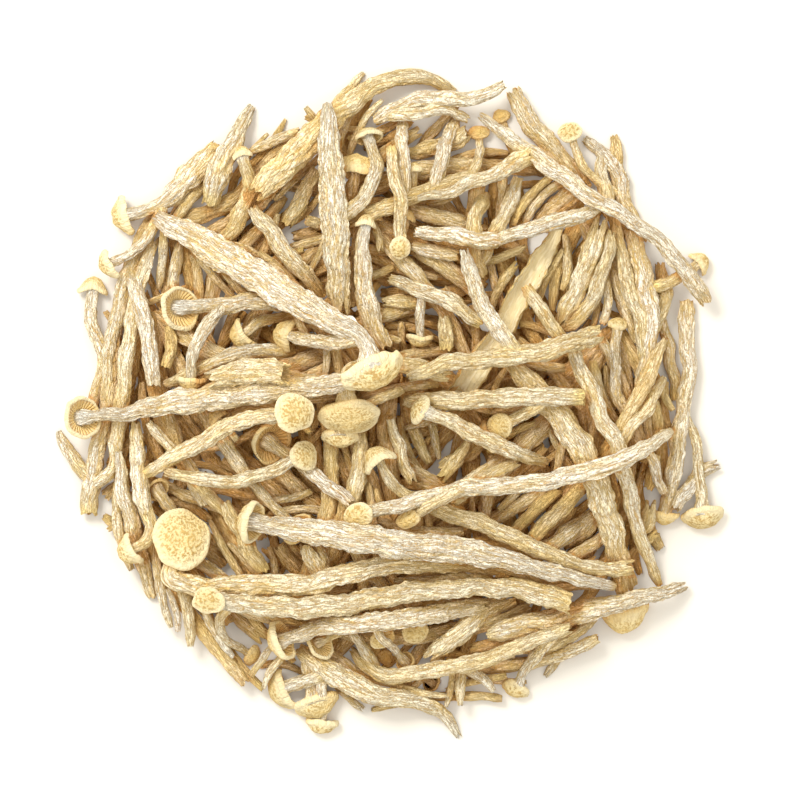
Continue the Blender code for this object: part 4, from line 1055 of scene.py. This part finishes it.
def lay_piece(name, skins):
    """One object from the skins of its mushrooms, with a material for each tint among them."""
    offset, faces, tints, chosen = 0, [], [], []
    for skin in skins:
        if skin["tint"] not in tints:
            tints.append(skin["tint"])
        own = (skin["quads"] + offset).tolist() + (skin["fans"] + offset).tolist()
        faces += own
        chosen += [tints.index(skin["tint"])] * len(own)
        offset += len(skin["points"])
    points = np.vstack([skin["points"] for skin in skins])
    points[:, :2] -= settled_heap()[2]
    data = bpy.data.meshes.new(name)
    data.from_pydata((points * MM).tolist(), [], faces)
    for tint in tints:
        data.materials.append(mushroom_material(tint))
    data.polygons.foreach_set("material_index", chosen)
    for field in ("grain", "marks", "zones", "shade"):
        values = np.vstack([skin[field] for skin in skins])
        data.attributes.new(field, "FLOAT_VECTOR", "POINT").data.foreach_set("vector", values.astype("f").ravel())
    # The depth attribute: how much sky the heap hides from each point, from which the material paints shade.
    depth = np.concatenate([skin["depth"] for skin in skins]).astype("f")
    data.attributes.new("depth", "FLOAT", "POINT").data.foreach_set("value", depth)
    piece = bpy.data.objects.new(name, data)
    bpy.context.scene.collection.objects.link(piece)
    bpy.ops.object.select_all(action="DESELECT")
    piece.select_set(True)
    bpy.context.view_layer.objects.active = piece
    bpy.ops.object.shade_smooth_by_angle(angle=math.radians(SOFT_ANGLE))
    piece.select_set(False)
    return piece


def lay_groups(names, fine):
    """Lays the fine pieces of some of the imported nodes, each in its node's place."""
    groups = settled_heap()[0]
    sizes = bpy.context.scene.mushroom_sizes
    for name in names:
        draw = np.random.default_rng([SKIN_SEED, list(groups).index(name)])
        skins = [mushroom_skin(shape, knots, draw, sizes, fine) for shape, knots in groups[name]]
        piece = lay_piece(f"{name}_skin", skins)
        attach(piece, "root")
        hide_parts(name)


# Loose stems in the gaps: each is drawn at random where it is free and hides the most of the gaps

class Gaps:
    """The free space in the heap, on a grid of 1 mm, for the middle lines of loose stems."""

    def __init__(self, balls, guarded, radius, ceiling=None):
        self.radius = radius
        self.low = np.array([-HEAP_RADIUS - 8, -HEAP_RADIUS - 8, 0.0])
        self.shape = (int(2 * HEAP_RADIUS) + 16, int(2 * HEAP_RADIUS) + 16, GAP_LEVELS)
        self.blocked = np.zeros(self.shape, bool)
        self.top = np.zeros(self.shape[:2])
        self.guard = np.full(self.shape[:2], np.inf)
        for ball in balls:
            self.block(ball)
        over = np.full(self.shape[:2], -np.inf)
        if ceiling is not None:
            self.guard = np.minimum(self.guard, ceiling)
        for ball in guarded:
            near, apart = self.around(ball[:2], ball[3])
            inside = apart < ball[3]
            height = ball[2] + np.sqrt(np.maximum(ball[3] ** 2 - apart**2, 0))
            over[near] = np.where(inside, np.maximum(over[near], height), over[near])
        self.guard = np.minimum(self.guard, np.where(np.isinf(over), np.inf, over))

    def around(self, spot, reach):
        """The cells within reach of a spot, seen from above, and how far each is from it."""
        start = np.maximum(np.floor(spot - self.low[:2] - reach).astype(int), 0)
        stop = np.minimum(np.ceil(spot - self.low[:2] + reach).astype(int) + 1, self.shape[:2])
        x, y = np.arange(start[0], stop[0]), np.arange(start[1], stop[1])
        apart = np.hypot(x[:, None] + self.low[0] - spot[0], y[None, :] + self.low[1] - spot[1])
        return (slice(start[0], stop[0]), slice(start[1], stop[1])), apart

    def block(self, ball):
        """Takes the space of one ball away from the middle lines of loose stems."""
        reach = ball[3] + self.radius - LOOSE_GIVE
        near, apart = self.around(ball[:2], reach)
        level = np.arange(GAP_LEVELS)[None, None, :]
        self.blocked[near] |= apart[..., None] ** 2 + (level - ball[2]) ** 2 < reach**2
        self.cover(ball)

    def cover(self, ball):
        """Raises the heap's top to that of one ball."""
        near, apart = self.around(ball[:2], ball[3])
        height = ball[2] + np.sqrt(np.maximum(ball[3] ** 2 - apart**2, 0))
        self.top[near] = np.where(apart < ball[3], np.maximum(self.top[near], height), self.top[near])

    def cells(self, spots):
        return tuple(np.clip(np.round(spots[..., axis] - self.low[axis]).astype(int), 0, self.shape[axis] - 1)
                     for axis in range(3))

    def free(self, spots):
        """Whether each of many lines of spots is free all along, and stays under what the photo shows on top."""
        x, y, z = self.cells(spots)
        clear = ~self.blocked[x, y, z] & (spots[..., 2] + self.radius < self.guard[x, y] + 1)
        return clear.all(axis=-1)

    def gain(self, spots):
        """How much of the gaps each line hides: the depth that it takes away, up to a limit."""
        x, y, z = self.cells(spots)
        step = np.linalg.norm(spots[..., 1, :] - spots[..., 0, :], axis=-1)
        rise = np.clip(spots[..., 2] + self.radius - self.top[x, y], 0, LOOSE_DEPTH)
        return step * np.where(self.top[x, y] < FLOOR_SEEN, FLOOR_WEIGHT * rise, rise).sum(axis=-1)

    def thread(self, flat):
        """The heights of a stiff stem's spots: as low as it can lie on what carries it, and under what covers it."""
        x, y, _ = self.cells(np.column_stack([flat, np.zeros(len(flat))]))
        level = np.arange(GAP_LEVELS)
        guard, top = self.guard[x, y][:, None], self.top[x, y][:, None]
        over = level + self.radius > guard
        sunk = np.isinf(guard) & (level < top + self.radius - LOOSE_GIVE)
        cost = PLACED_CROSSING * (self.blocked[x, y] + 2.0 * over + sunk)
        cost = cost + PLACED_WEIGHT * level + 1e6 * (level < self.radius - SINK)
        best, came = [cost[0]], []
        for row in cost[1:]:
            near = np.stack([np.roll(best[-1], climb) + PLACED_STIFFNESS * abs(climb)
                             for climb in range(-PLACED_CLIMB, PLACED_CLIMB + 1)])
            came.append(near.argmin(axis=0) - PLACED_CLIMB)
            best.append(row + near.min(axis=0))
        heights = [int(best[-1].argmin())]
        for steps in reversed(came):
            heights.append(heights[-1] - steps[heights[-1]])
        return np.array(heights[::-1], float)


def belly(count, widths):
    """The widths at evenly spaced knots of a stem, as shares of its own."""
    return np.interp(np.linspace(0, 1, count), BELLY_AT, widths)


def placed_stems(filled, guarded):
    """The thinner mushrooms that the photo shows between the others, as (mushroom, knots), and all that is filled."""
    found = []
    spaces = {radius: Gaps(filled, guarded, radius) for radius in PLACED_RADII}
    for tint, cap, width, course in PLACED:
        shape = mushroom(tint, cap, *[(x, y, width) for x, y in course])
        course = smooth_course(shape["course"])
        total = distances(course)[-1]
        radius = shape["course"][0][2] / 2
        gaps = spaces[min(PLACED_RADII, key=lambda each: abs(each - radius))]
        flat = at_distance(course, np.linspace(total, neck_run(shape), max(6, round(total / PLACED_STEP))))
        heights = gaps.thread(flat[:, :2])
        heights = np.convolve(np.pad(heights, 4, mode="edge"), np.ones(9) / 9, mode="valid")
        pick = np.linspace(0, len(flat) - 1, max(4, round(total / 8))).round().astype(int)
        knots = np.column_stack([flat[pick, :2], heights[pick], radius * belly(len(pick), PLACED_BELLY)])
        found.append((shape, knots))
        own = samples_of(shape, knots)
        filled = np.vstack([filled, own])
        for gaps in spaces.values():
            for ball in own:
                gaps.block(ball)
    return found, filled


def loose_courses(draw, count, radius, lengths, gaps, ceiling):
    """Many possible loose stems, as lines of spots from one end to the other, more of them where the gaps are deep."""
    length, heading = draw.uniform(*lengths, count), draw.uniform(0, math.tau, count)
    x, y = [gaps.low[axis] + np.arange(gaps.shape[axis]) for axis in (0, 1)]
    near = np.hypot(x[:, None], y[None, :]) < LOOSE_SPREAD * HEAP_RADIUS
    wanted = np.clip(ceiling - gaps.top, 0, GAP_WEIGHT) * near
    wanted = np.where(gaps.top < FLOOR_SEEN, FLOOR_WEIGHT * wanted, wanted).ravel()
    cell = draw.choice(wanted.size, count, p=wanted / wanted.sum())
    middle_x, middle_y = x[cell // len(y)], y[cell % len(y)]
    bend = draw.uniform(-LOOSE_BEND, LOOSE_BEND, count)
    low, tilt = draw.uniform(radius - SINK, LOOSE_TOP, count), draw.uniform(-LOOSE_TILT, LOOSE_TILT, count)
    share = np.linspace(-0.5, 0.5, LOOSE_SPOTS)
    turn = heading[:, None] + bend[:, None] * share
    x = middle_x[:, None] + length[:, None] * share * np.cos(turn)
    y = middle_y[:, None] + length[:, None] * share * np.sin(turn)
    z = np.maximum(low[:, None] + tilt[:, None] * length[:, None] * share, radius - SINK)
    return np.stack([x, y, z], axis=-1)


@functools.lru_cache(maxsize=2)
def loose_stems(wanted):
    """What fills the gaps of the heap: the placed mushrooms, then loose stems as (line, radius), thick to thin."""
    groups, balls, _ = settled_heap()
    guarded = np.vstack([balls[name] for name in groups if not name.startswith("tuft")])
    filled = np.vstack(list(balls.values()))
    between, filled = placed_stems(filled, guarded)
    guarded = np.vstack([guarded, *(samples_of(shape, knots) for shape, knots in between)])
    draw = np.random.default_rng(LOOSE_SEED)
    found = []
    ceiling = np.maximum(mean_top() / FLATNESS - LOOSE_BELOW, RIM_CEILING)
    for radius, lengths, draws, least in LOOSE_PASSES:
        gaps = Gaps(filled, guarded, radius, ceiling)
        courses = loose_courses(draw, draws, radius, lengths, gaps, ceiling)
        courses = courses[(np.hypot(courses[..., 0], courses[..., 1]) < HEAP_RADIUS - 2).all(axis=1)]
        courses = courses[gaps.free(courses)]
        while len(found) < wanted and len(courses):
            gain = gaps.gain(courses)
            best = courses[gain.argmax()]
            if gain.max() < least:
                break
            down = np.array([0, 0, 0.5])
            while (best[:, 2] - down[2] >= radius - SINK).all() and gaps.free(best - down):
                best = best - down
            found.append((best, radius))
            own = balls_along(best, radius)
            filled = np.vstack([filled, own])
            for ball in own:
                gaps.block(ball)
            courses = courses[gaps.free(courses)]
    return between, found


def lay_shares(title, skins):
    """Lays many skins as a few pieces."""
    for number in range(LOOSE_PIECES):
        own = skins[number::LOOSE_PIECES]
        if own:
            piece = lay_piece(f"{title}_{number + 1}", own)
            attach(piece, "root")


def lay_loose_stems(wanted):
    """The placed mushrooms and the loose stems as fine skins."""
    sizes = bpy.context.scene.mushroom_sizes
    draw = np.random.default_rng(LOOSE_SEED + 1)
    between, loose = loose_stems(wanted)
    lay_shares("placed_stems", [mushroom_skin(shape, knots, draw, sizes, True) for shape, knots in between])
    skins = []
    for spots, radius in loose:
        radii = radius / THINNER * draw.uniform(*LOOSE_WIDTHS) * belly(LOOSE_KNOTS, LOOSE_BELLY)
        at = np.linspace(0, len(spots) - 1, LOOSE_KNOTS)
        knots = np.column_stack([np.interp(at, np.arange(len(spots)), column) for column in spots.T] + [radii])
        tint = ("cream", "cream", "golden", "golden", "cream", "pale", "orange")[draw.integers(7)]
        skins.append(mushroom_skin({"tint": tint, "cap": None, "open": False}, knots, draw, sizes, False))
    lay_shares("loose_stems", skins)


# Materials

class Value:
    """One output of a material's nodes, with the signs of arithmetic."""

    def __init__(self, recipe, socket):
        self.recipe, self.socket = recipe, socket

    def math(self, operation, *others, clamp=False):
        return self.recipe.node("ShaderNodeMath", {"operation": operation, "use_clamp": clamp}, self, *others)

    def __add__(self, other):
        return self.math("ADD", other)

    def __sub__(self, other):
        return self.math("SUBTRACT", other)

    def __rsub__(self, other):
        return self.recipe.node("ShaderNodeMath", {"operation": "SUBTRACT"}, other, self)

    def __mul__(self, other):
        return self.math("MULTIPLY", other)

    __radd__, __rmul__ = __add__, __mul__

    def clamp(self):
        return self.math("ADD", 0.0, clamp=True)

    def ramp(self, low, high):
        """0 where this is low, 1 where it is high, and smooth between them."""
        return self.recipe.node("ShaderNodeMapRange", {"interpolation_type": "SMOOTHSTEP"}, self, low, high)


class Recipe:
    """A material in the making."""

    def __init__(self, name):
        self.material = bpy.data.materials.new(name)
        self.material.use_nodes = True
        self.tree = self.material.node_tree
        self.shader = self.tree.nodes["Principled BSDF"]

    def put(self, socket, value):
        """Gives a socket a number, a colour or a link."""
        if isinstance(value, Value):
            self.tree.links.new(value.socket, socket)
        elif isinstance(value, (int, float)):
            socket.default_value = value
        else:
            socket.default_value = (*value, 1)

    def node(self, kind, settings, *values, output=0, **named):
        """A node of this kind, with its settings set first and then the values or links of its sockets."""
        made = self.tree.nodes.new(kind)
        for name, setting in settings.items():
            setattr(made, name, setting)
        for socket, value in zip(made.inputs, values):
            self.put(socket, value)
        for name, value in named.items():
            self.put(made.inputs[name], value)
        return Value(self, made.outputs[output])

    def field(self, name):
        """A vector that the mesh holds, and its three parts."""
        vector = self.node("ShaderNodeAttribute", {"attribute_name": name}, output="Vector")
        return [vector, *self.parts(vector)]

    def parts(self, vector):
        split = self.node("ShaderNodeSeparateXYZ", {}, vector).socket.node
        return [Value(self, output) for output in split.outputs]

    def noise(self, spot, size, detail=2.0, rough=0.5, warp=0.0):
        """A random field from 0 to 1 whose patches are about this size, in the units of the spot."""
        return self.node("ShaderNodeTexNoise", {"noise_dimensions": "3D"}, Vector=spot, Scale=1 / size,
                         Detail=detail, Roughness=rough, Distortion=warp)

    def mix(self, share, first, second):
        """A colour between two others."""
        made = self.tree.nodes.new("ShaderNodeMix")
        made.data_type = "RGBA"
        for place, value in ((0, share), (6, first), (7, second)):
            self.put(made.inputs[place], value)
        return Value(self, made.outputs[2])


@functools.lru_cache(maxsize=None)
def mushroom_material(tint):
    """The skin of dried mushrooms of one tint: ribs and furrows, torn ends, necks, caps and gills, with shade painted
    where the heap hides the sky.
    """
    colours = bpy.context.scene.mushroom_colours
    skin = Recipe(f"{tint}_mushroom_skin")
    grain, x, y, z = skin.field("grain")
    _, furrow, yellow, white = skin.field("marks")
    _, cap, gills, inside = skin.field("zones")
    _, light, warm, brown = skin.field("shade")
    hidden = skin.node("ShaderNodeAttribute", {"attribute_name": "depth"}, output="Fac")

    level = skin.parts(skin.node("ShaderNodeTexCoord", {}, output="Object"))[2]

    def drawn_out(size, share, detail, rough):
        return skin.noise(skin.node("ShaderNodeCombineXYZ", {}, x, y, z * share), size, detail, rough)

    def thin_lines(field, width):
        return 1 - (field * 2 - 1).math("ABSOLUTE").ramp(0.0, width)

    streaks = drawn_out(*STREAKS, 1.0, 0.5)
    fibres, threads = drawn_out(*FIBRES, 2.0, 0.6), drawn_out(*THREADS, 2.0, 0.6)
    grit = skin.noise(grain, GRIT, 2.0, 0.65)
    patches = skin.noise(grain, PATCHES, 1.0)

    crack, split = thin_lines(fibres, 0.13), thin_lines(threads, 0.15)
    # The furrow colour goes into the bottoms of the furrows and into thin cracks: partly the stems' own ochre, partly
    # painted shade in these grooves.
    low = (furrow.ramp(0.35, 1.0) * 0.70 + crack * 0.75 + split * 0.55 * grit.ramp(0.40, 0.6)).clamp()
    base = skin.mix((patches.ramp(0.35, 0.7) * 0.5 + warm * 0.25 + 0.1).clamp(),
                    getattr(colours, tint), getattr(colours, f"{tint}_deep"))
    base = skin.mix(streaks.ramp(0.50, 0.64) * 0.34, base, colours.yellow_end)
    stem = skin.mix(low * 0.85, base, colours.furrow)
    stem = skin.mix(grit.ramp(0.56, 0.64) * 0.55, stem, colours.speck)
    stem = skin.mix((yellow * (0.85 - low * 0.5)).clamp(), stem, colours.yellow_end)
    stem = skin.mix((brown * (0.3 + low * 0.5)).clamp(), stem, colours.brown_end)
    stem = skin.mix((white * (1 - low * 0.5)).clamp(), stem, colours.neck)

    stipple = skin.noise(grain, STIPPLE, 3.0, 0.6)
    crackle = stipple.ramp(0.42, 0.54)
    top = skin.mix(crackle, colours.cap_grain, colours.cap)
    top = skin.mix((patches.ramp(0.40, 0.8) * 0.30 + furrow.ramp(0.1, 0.8) * 0.35).clamp(), top,
                   colours.cap_deep)
    top = skin.mix(white * 0.85, top, colours.rim)
    turn = y.math("ARCTAN2", x)
    spokes = (turn * GILLS + fibres * 5).math("SINE") * 0.5 + 0.5
    under = skin.mix(spokes, colours.gill_gap, colours.gill)
    hollow = skin.mix(fibres.ramp(0.35, 0.7), colours.inside_shade, colours.inside)
    colour = skin.mix(cap, stem, top)
    colour = skin.mix(gills, colour, under)
    colour = skin.mix(inside, colour, hollow)
    # Painted shade: where the heap hides the sky from a point, its colour is pulled towards the shaded colour and then
    # the deep one. The pull is stronger in furrows and cracks, and weaker inside splits and high in the heap. It
    # stands in for the shadow between and under the stems.
    raised = level.ramp(*(height * MM for height in HIGH_IN_HEAP))
    painted_shade_mask = hidden * (1 - inside * 0.6) * (1 - raised * 0.25)
    colour = skin.mix((painted_shade_mask.ramp(0.16, 0.60) * (0.60 + low * 0.3)).clamp(), colour, colours.shaded)
    colour = skin.mix((painted_shade_mask.ramp(0.45, 1.00) * (0.78 + low * 0.15)).clamp(), colour, colours.deep)
    colour = skin.node("ShaderNodeHueSaturation", {}, Color=colour, Value=light * 0.07 + 1.0)
    skin.put(skin.shader.inputs["Base Color"], colour)

    rough = (0.56 + grit * 0.25 - inside * 0.18 + cap * 0.06).clamp()
    skin.put(skin.shader.inputs["Roughness"], rough)
    ribbed = 1 - crack * 0.75 - split * 0.40 + grit * 0.70
    domed = stipple * 1.8
    gilled = spokes * 0.5
    height = ribbed * (1 - cap) * (1 - gills) * (1 - inside * 0.85) + domed * cap + gilled * gills
    bumped = skin.node("ShaderNodeBump", {}, Height=height, Strength=1.0, Distance=BUMP * MM)
    skin.put(skin.shader.inputs["Normal"], bumped)
    skin.shader.inputs["Specular IOR Level"].default_value = SPECULAR
    return skin.material


def tone(red, green, blue):
    """A colour as a screen shows it, from 0 to 255, in the linear values that Blender keeps."""
    shares = [value / 255 for value in (red, green, blue)]
    return tuple(share / 12.92 if share <= 0.04045 else ((share + 0.055) / 1.055) ** 2.4 for share in shares)


def number(name, description, default, least, **more):
    return bpy.props.FloatProperty(name=name, description=description, default=default, min=least, **more)


def colour_property(name, description, *screen):
    return bpy.props.FloatVectorProperty(name=name, description=description, subtype="COLOR", size=3, min=0, max=1,
                                         default=tone(*screen))


class MushroomSizes(bpy.types.PropertyGroup):
    """How far the fine skins depart from smooth stems, and how many loose stems fill the gaps."""

    rib_depth: number("Rib depth", "Depth of the furrows, as a share of a stem's radius", 0.27, 0, max=0.5,
                      subtype="FACTOR")
    lumpiness: number("Lumpiness", "How much a stem swells and thins along it", 0.05, 0, max=0.3, subtype="FACTOR")
    waviness: number("Waviness", "How far a stem wanders from its course, in mm", 0.25, 0, max=1)
    loose_count: bpy.props.IntProperty(name="Loose stems", description="The most stems that fill the gaps",
                                       default=300, min=0, max=600)


class MushroomColours(bpy.types.PropertyGroup):
    """The colours of the skins."""

    cream: colour_property("Cream stem", "Ribs of most stems", 254, 247, 224)
    cream_deep: colour_property("Cream stem, deep", "Darker patches of most stems", 249, 234, 188)
    pale: colour_property("Pale stem", "Ribs of the palest stems", 254, 247, 226)
    pale_deep: colour_property("Pale stem, deep", "Darker patches of the palest stems", 250, 238, 206)
    golden: colour_property("Golden stem", "Ribs of the yellow stems", 254, 242, 206)
    golden_deep: colour_property("Golden stem, deep", "Darker patches of the yellow stems", 248, 222, 158)
    orange: colour_property("Orange stem", "Ribs of the browner stems", 246, 220, 164)
    orange_deep: colour_property("Orange stem, deep", "Darker patches of the browner stems", 226, 178, 92)
    # Partly the stems' own ochre, partly painted shade in the furrows and cracks.
    furrow: colour_property("Furrows", "The bottoms of the furrows", 200, 150, 62)
    # Painted shade: the next two colours stand in for the shadow between and under the stems, not for a colour the
    # stems have.
    shaded: colour_property("Between the stems", "What lies between the upper stems tends to this", 238, 196, 106)
    deep: colour_property("Deep in the heap", "What lies deep in the heap tends to this", 204, 132, 46)
    speck: colour_property("Specks", "Small brown pits on the stems", 210, 160, 78)
    yellow_end: colour_property("Yellow ends", "Feet and edges that dried yellow", 243, 208, 110)
    brown_end: colour_property("Brown ends", "Feet that dried brown", 208, 150, 76)
    neck: colour_property("Necks", "White fibres next to the caps", 242, 236, 218)
    cap: colour_property("Caps", "The raised grain of the caps", 236, 215, 154)
    cap_grain: colour_property("Cap grain", "The low grain of the caps", 178, 138, 68)
    cap_deep: colour_property("Caps, deep", "Darker patches of the caps", 208, 172, 94)
    rim: colour_property("Cap rims", "The rolled rims of the caps", 238, 219, 168)
    gill: colour_property("Gills", "The edges of the gills", 234, 206, 150)
    gill_gap: colour_property("Between the gills", "The gaps between the gills", 196, 144, 80)
    inside: colour_property("Split inside", "The smooth inside of a split stem", 240, 232, 196)
    inside_shade: colour_property("Split inside, shade", "Its duller streaks", 216, 205, 160)


class MushroomStage(bpy.types.PropertyGroup):
    """The floor, the light and the camera."""

    floor: colour_property("Floor", "The plain floor", 224, 218, 205)
    key_light: number("Main light", "Power of the light at the upper left", 15.0, 0, unit="POWER")
    fill_light: number("Soft light", "Brightness of the room around", 1.25, 0, max=5)
    exposure: number("Exposure", "Exposure of the picture, in stops", 0.05, -3, max=3)
    gamma: number("Gamma", "How much the middle tones are lifted", 1.2, 0.5, max=2)
    camera_height: number("Camera height", "Height of the camera over the heap", 1.6, 0.3, unit="LENGTH",
                          subtype="DISTANCE")


class MUSHROOMS_OT_tufts(bpy.types.Operator):
    """Lay the fine skins of the tufts at the bottom of the heap"""

    bl_idname = "mushrooms.tufts"
    bl_label = "Lay the tufts"

    def execute(self, context):
        lay_groups(tufts(), False)
        return {"FINISHED"}


class MUSHROOMS_OT_lower(bpy.types.Operator):
    """Lay the fine skins of the lower mushrooms that the photo shows"""

    bl_idname = "mushrooms.lower"
    bl_label = "Lay the lower mushrooms"

    def execute(self, context):
        lay_groups(LOWER, True)
        return {"FINISHED"}


class MUSHROOMS_OT_upper(bpy.types.Operator):
    """Lay the fine skins of the mushrooms on top of the heap"""

    bl_idname = "mushrooms.upper"
    bl_label = "Lay the upper mushrooms"

    def execute(self, context):
        lay_groups(UPPER, True)
        return {"FINISHED"}


class MUSHROOMS_OT_loose(bpy.types.Operator):
    """Fill the gaps of the heap with loose stems"""

    bl_idname = "mushrooms.loose"
    bl_label = "Fill the gaps"

    def execute(self, context):
        lay_loose_stems(context.scene.mushroom_sizes.loose_count)
        return {"FINISHED"}


class MUSHROOMS_OT_stage(bpy.types.Operator):
    """Set the floor, the lights and the camera"""

    bl_idname = "mushrooms.stage"
    bl_label = "Set the stage"

    def execute(self, context):
        set_stage(context.scene)
        return {"FINISHED"}


def set_stage(scene):
    """A plain pale floor, a soft light from the upper left and a camera straight above."""
    stage = scene.mushroom_stage
    _, _, middle = settled_heap()
    bpy.ops.object.select_all(action="DESELECT")
    bpy.ops.mesh.primitive_plane_add(size=FLOOR_SIZE, location=(0, 0, -FLOOR_DROP * MM))
    floor = bpy.context.active_object
    floor.name = "floor"
    paint = Recipe("floor_paint")
    paint.shader.inputs["Base Color"].default_value = (*stage.floor, 1)
    paint.shader.inputs["Roughness"].default_value = FLOOR_ROUGHNESS
    floor.data.materials.append(paint.material)
    bpy.ops.object.light_add(type="AREA", location=KEY_PLACE)
    key = bpy.context.active_object
    key.name = "main_light"
    key.rotation_euler = (*(math.radians(angle) for angle in KEY_TURN), 0)
    key.data.energy = stage.key_light
    key.data.size = KEY_SIZE
    key.data.color = KEY_COLOUR
    scene.world = bpy.data.worlds.new("room")
    scene.world.use_nodes = True
    room = scene.world.node_tree.nodes["Background"]
    room.inputs["Color"].default_value = ROOM_COLOUR
    room.inputs["Strength"].default_value = stage.fill_light
    centre = np.array(PHOTO_CENTRE) - middle
    bpy.ops.object.camera_add(location=(centre[0] * MM, centre[1] * MM, stage.camera_height), rotation=(0, 0, 0))
    camera = bpy.context.active_object
    camera.name = "camera_above"
    camera.data.sensor_width = SENSOR
    camera.data.lens = SENSOR * (stage.camera_height - PHOTO_LEVEL * MM) / (PHOTO_FIELD * MM)
    camera.data.clip_end = 10
    scene.camera = camera
    scene.view_settings.view_transform = "Standard"
    scene.view_settings.exposure = stage.exposure
    scene.view_settings.gamma = stage.gamma


class MUSHROOMS_PT_panel(bpy.types.Panel):
    """The bunch's steps, sizes and colours"""

    bl_idname = "MUSHROOMS_PT_panel"
    bl_label = "Bunch of dried beech mushrooms"
    bl_space_type = "VIEW_3D"
    bl_region_type = "UI"
    bl_category = "Mushrooms"

    def draw(self, context):
        for step in STEPS:
            self.layout.operator(step.bl_idname)
        for group in (context.scene.mushroom_sizes, context.scene.mushroom_colours, context.scene.mushroom_stage):
            box = self.layout.box()
            for name in group.bl_rna.properties.keys():
                if name not in ("rna_type", "name"):
                    box.prop(group, name)


STEPS = (MUSHROOMS_OT_tufts, MUSHROOMS_OT_lower, MUSHROOMS_OT_upper, MUSHROOMS_OT_loose, MUSHROOMS_OT_stage)
CLASSES = (MushroomSizes, MushroomColours, MushroomStage, *STEPS, MUSHROOMS_PT_panel)


def register():
    for each in CLASSES:
        bpy.utils.register_class(each)
    bpy.types.Scene.mushroom_sizes = bpy.props.PointerProperty(type=MushroomSizes)
    bpy.types.Scene.mushroom_colours = bpy.props.PointerProperty(type=MushroomColours)
    bpy.types.Scene.mushroom_stage = bpy.props.PointerProperty(type=MushroomStage)


def unregister():
    del bpy.types.Scene.mushroom_stage
    del bpy.types.Scene.mushroom_colours
    del bpy.types.Scene.mushroom_sizes
    for each in reversed(CLASSES):
        bpy.utils.unregister_class(each)


def main():
    register()
    bpy.ops.mushrooms.tufts()
    bpy.ops.mushrooms.lower()
    bpy.ops.mushrooms.upper()
    bpy.ops.mushrooms.loose()
    bpy.ops.mushrooms.stage()


if __name__ == "__main__":
    main()
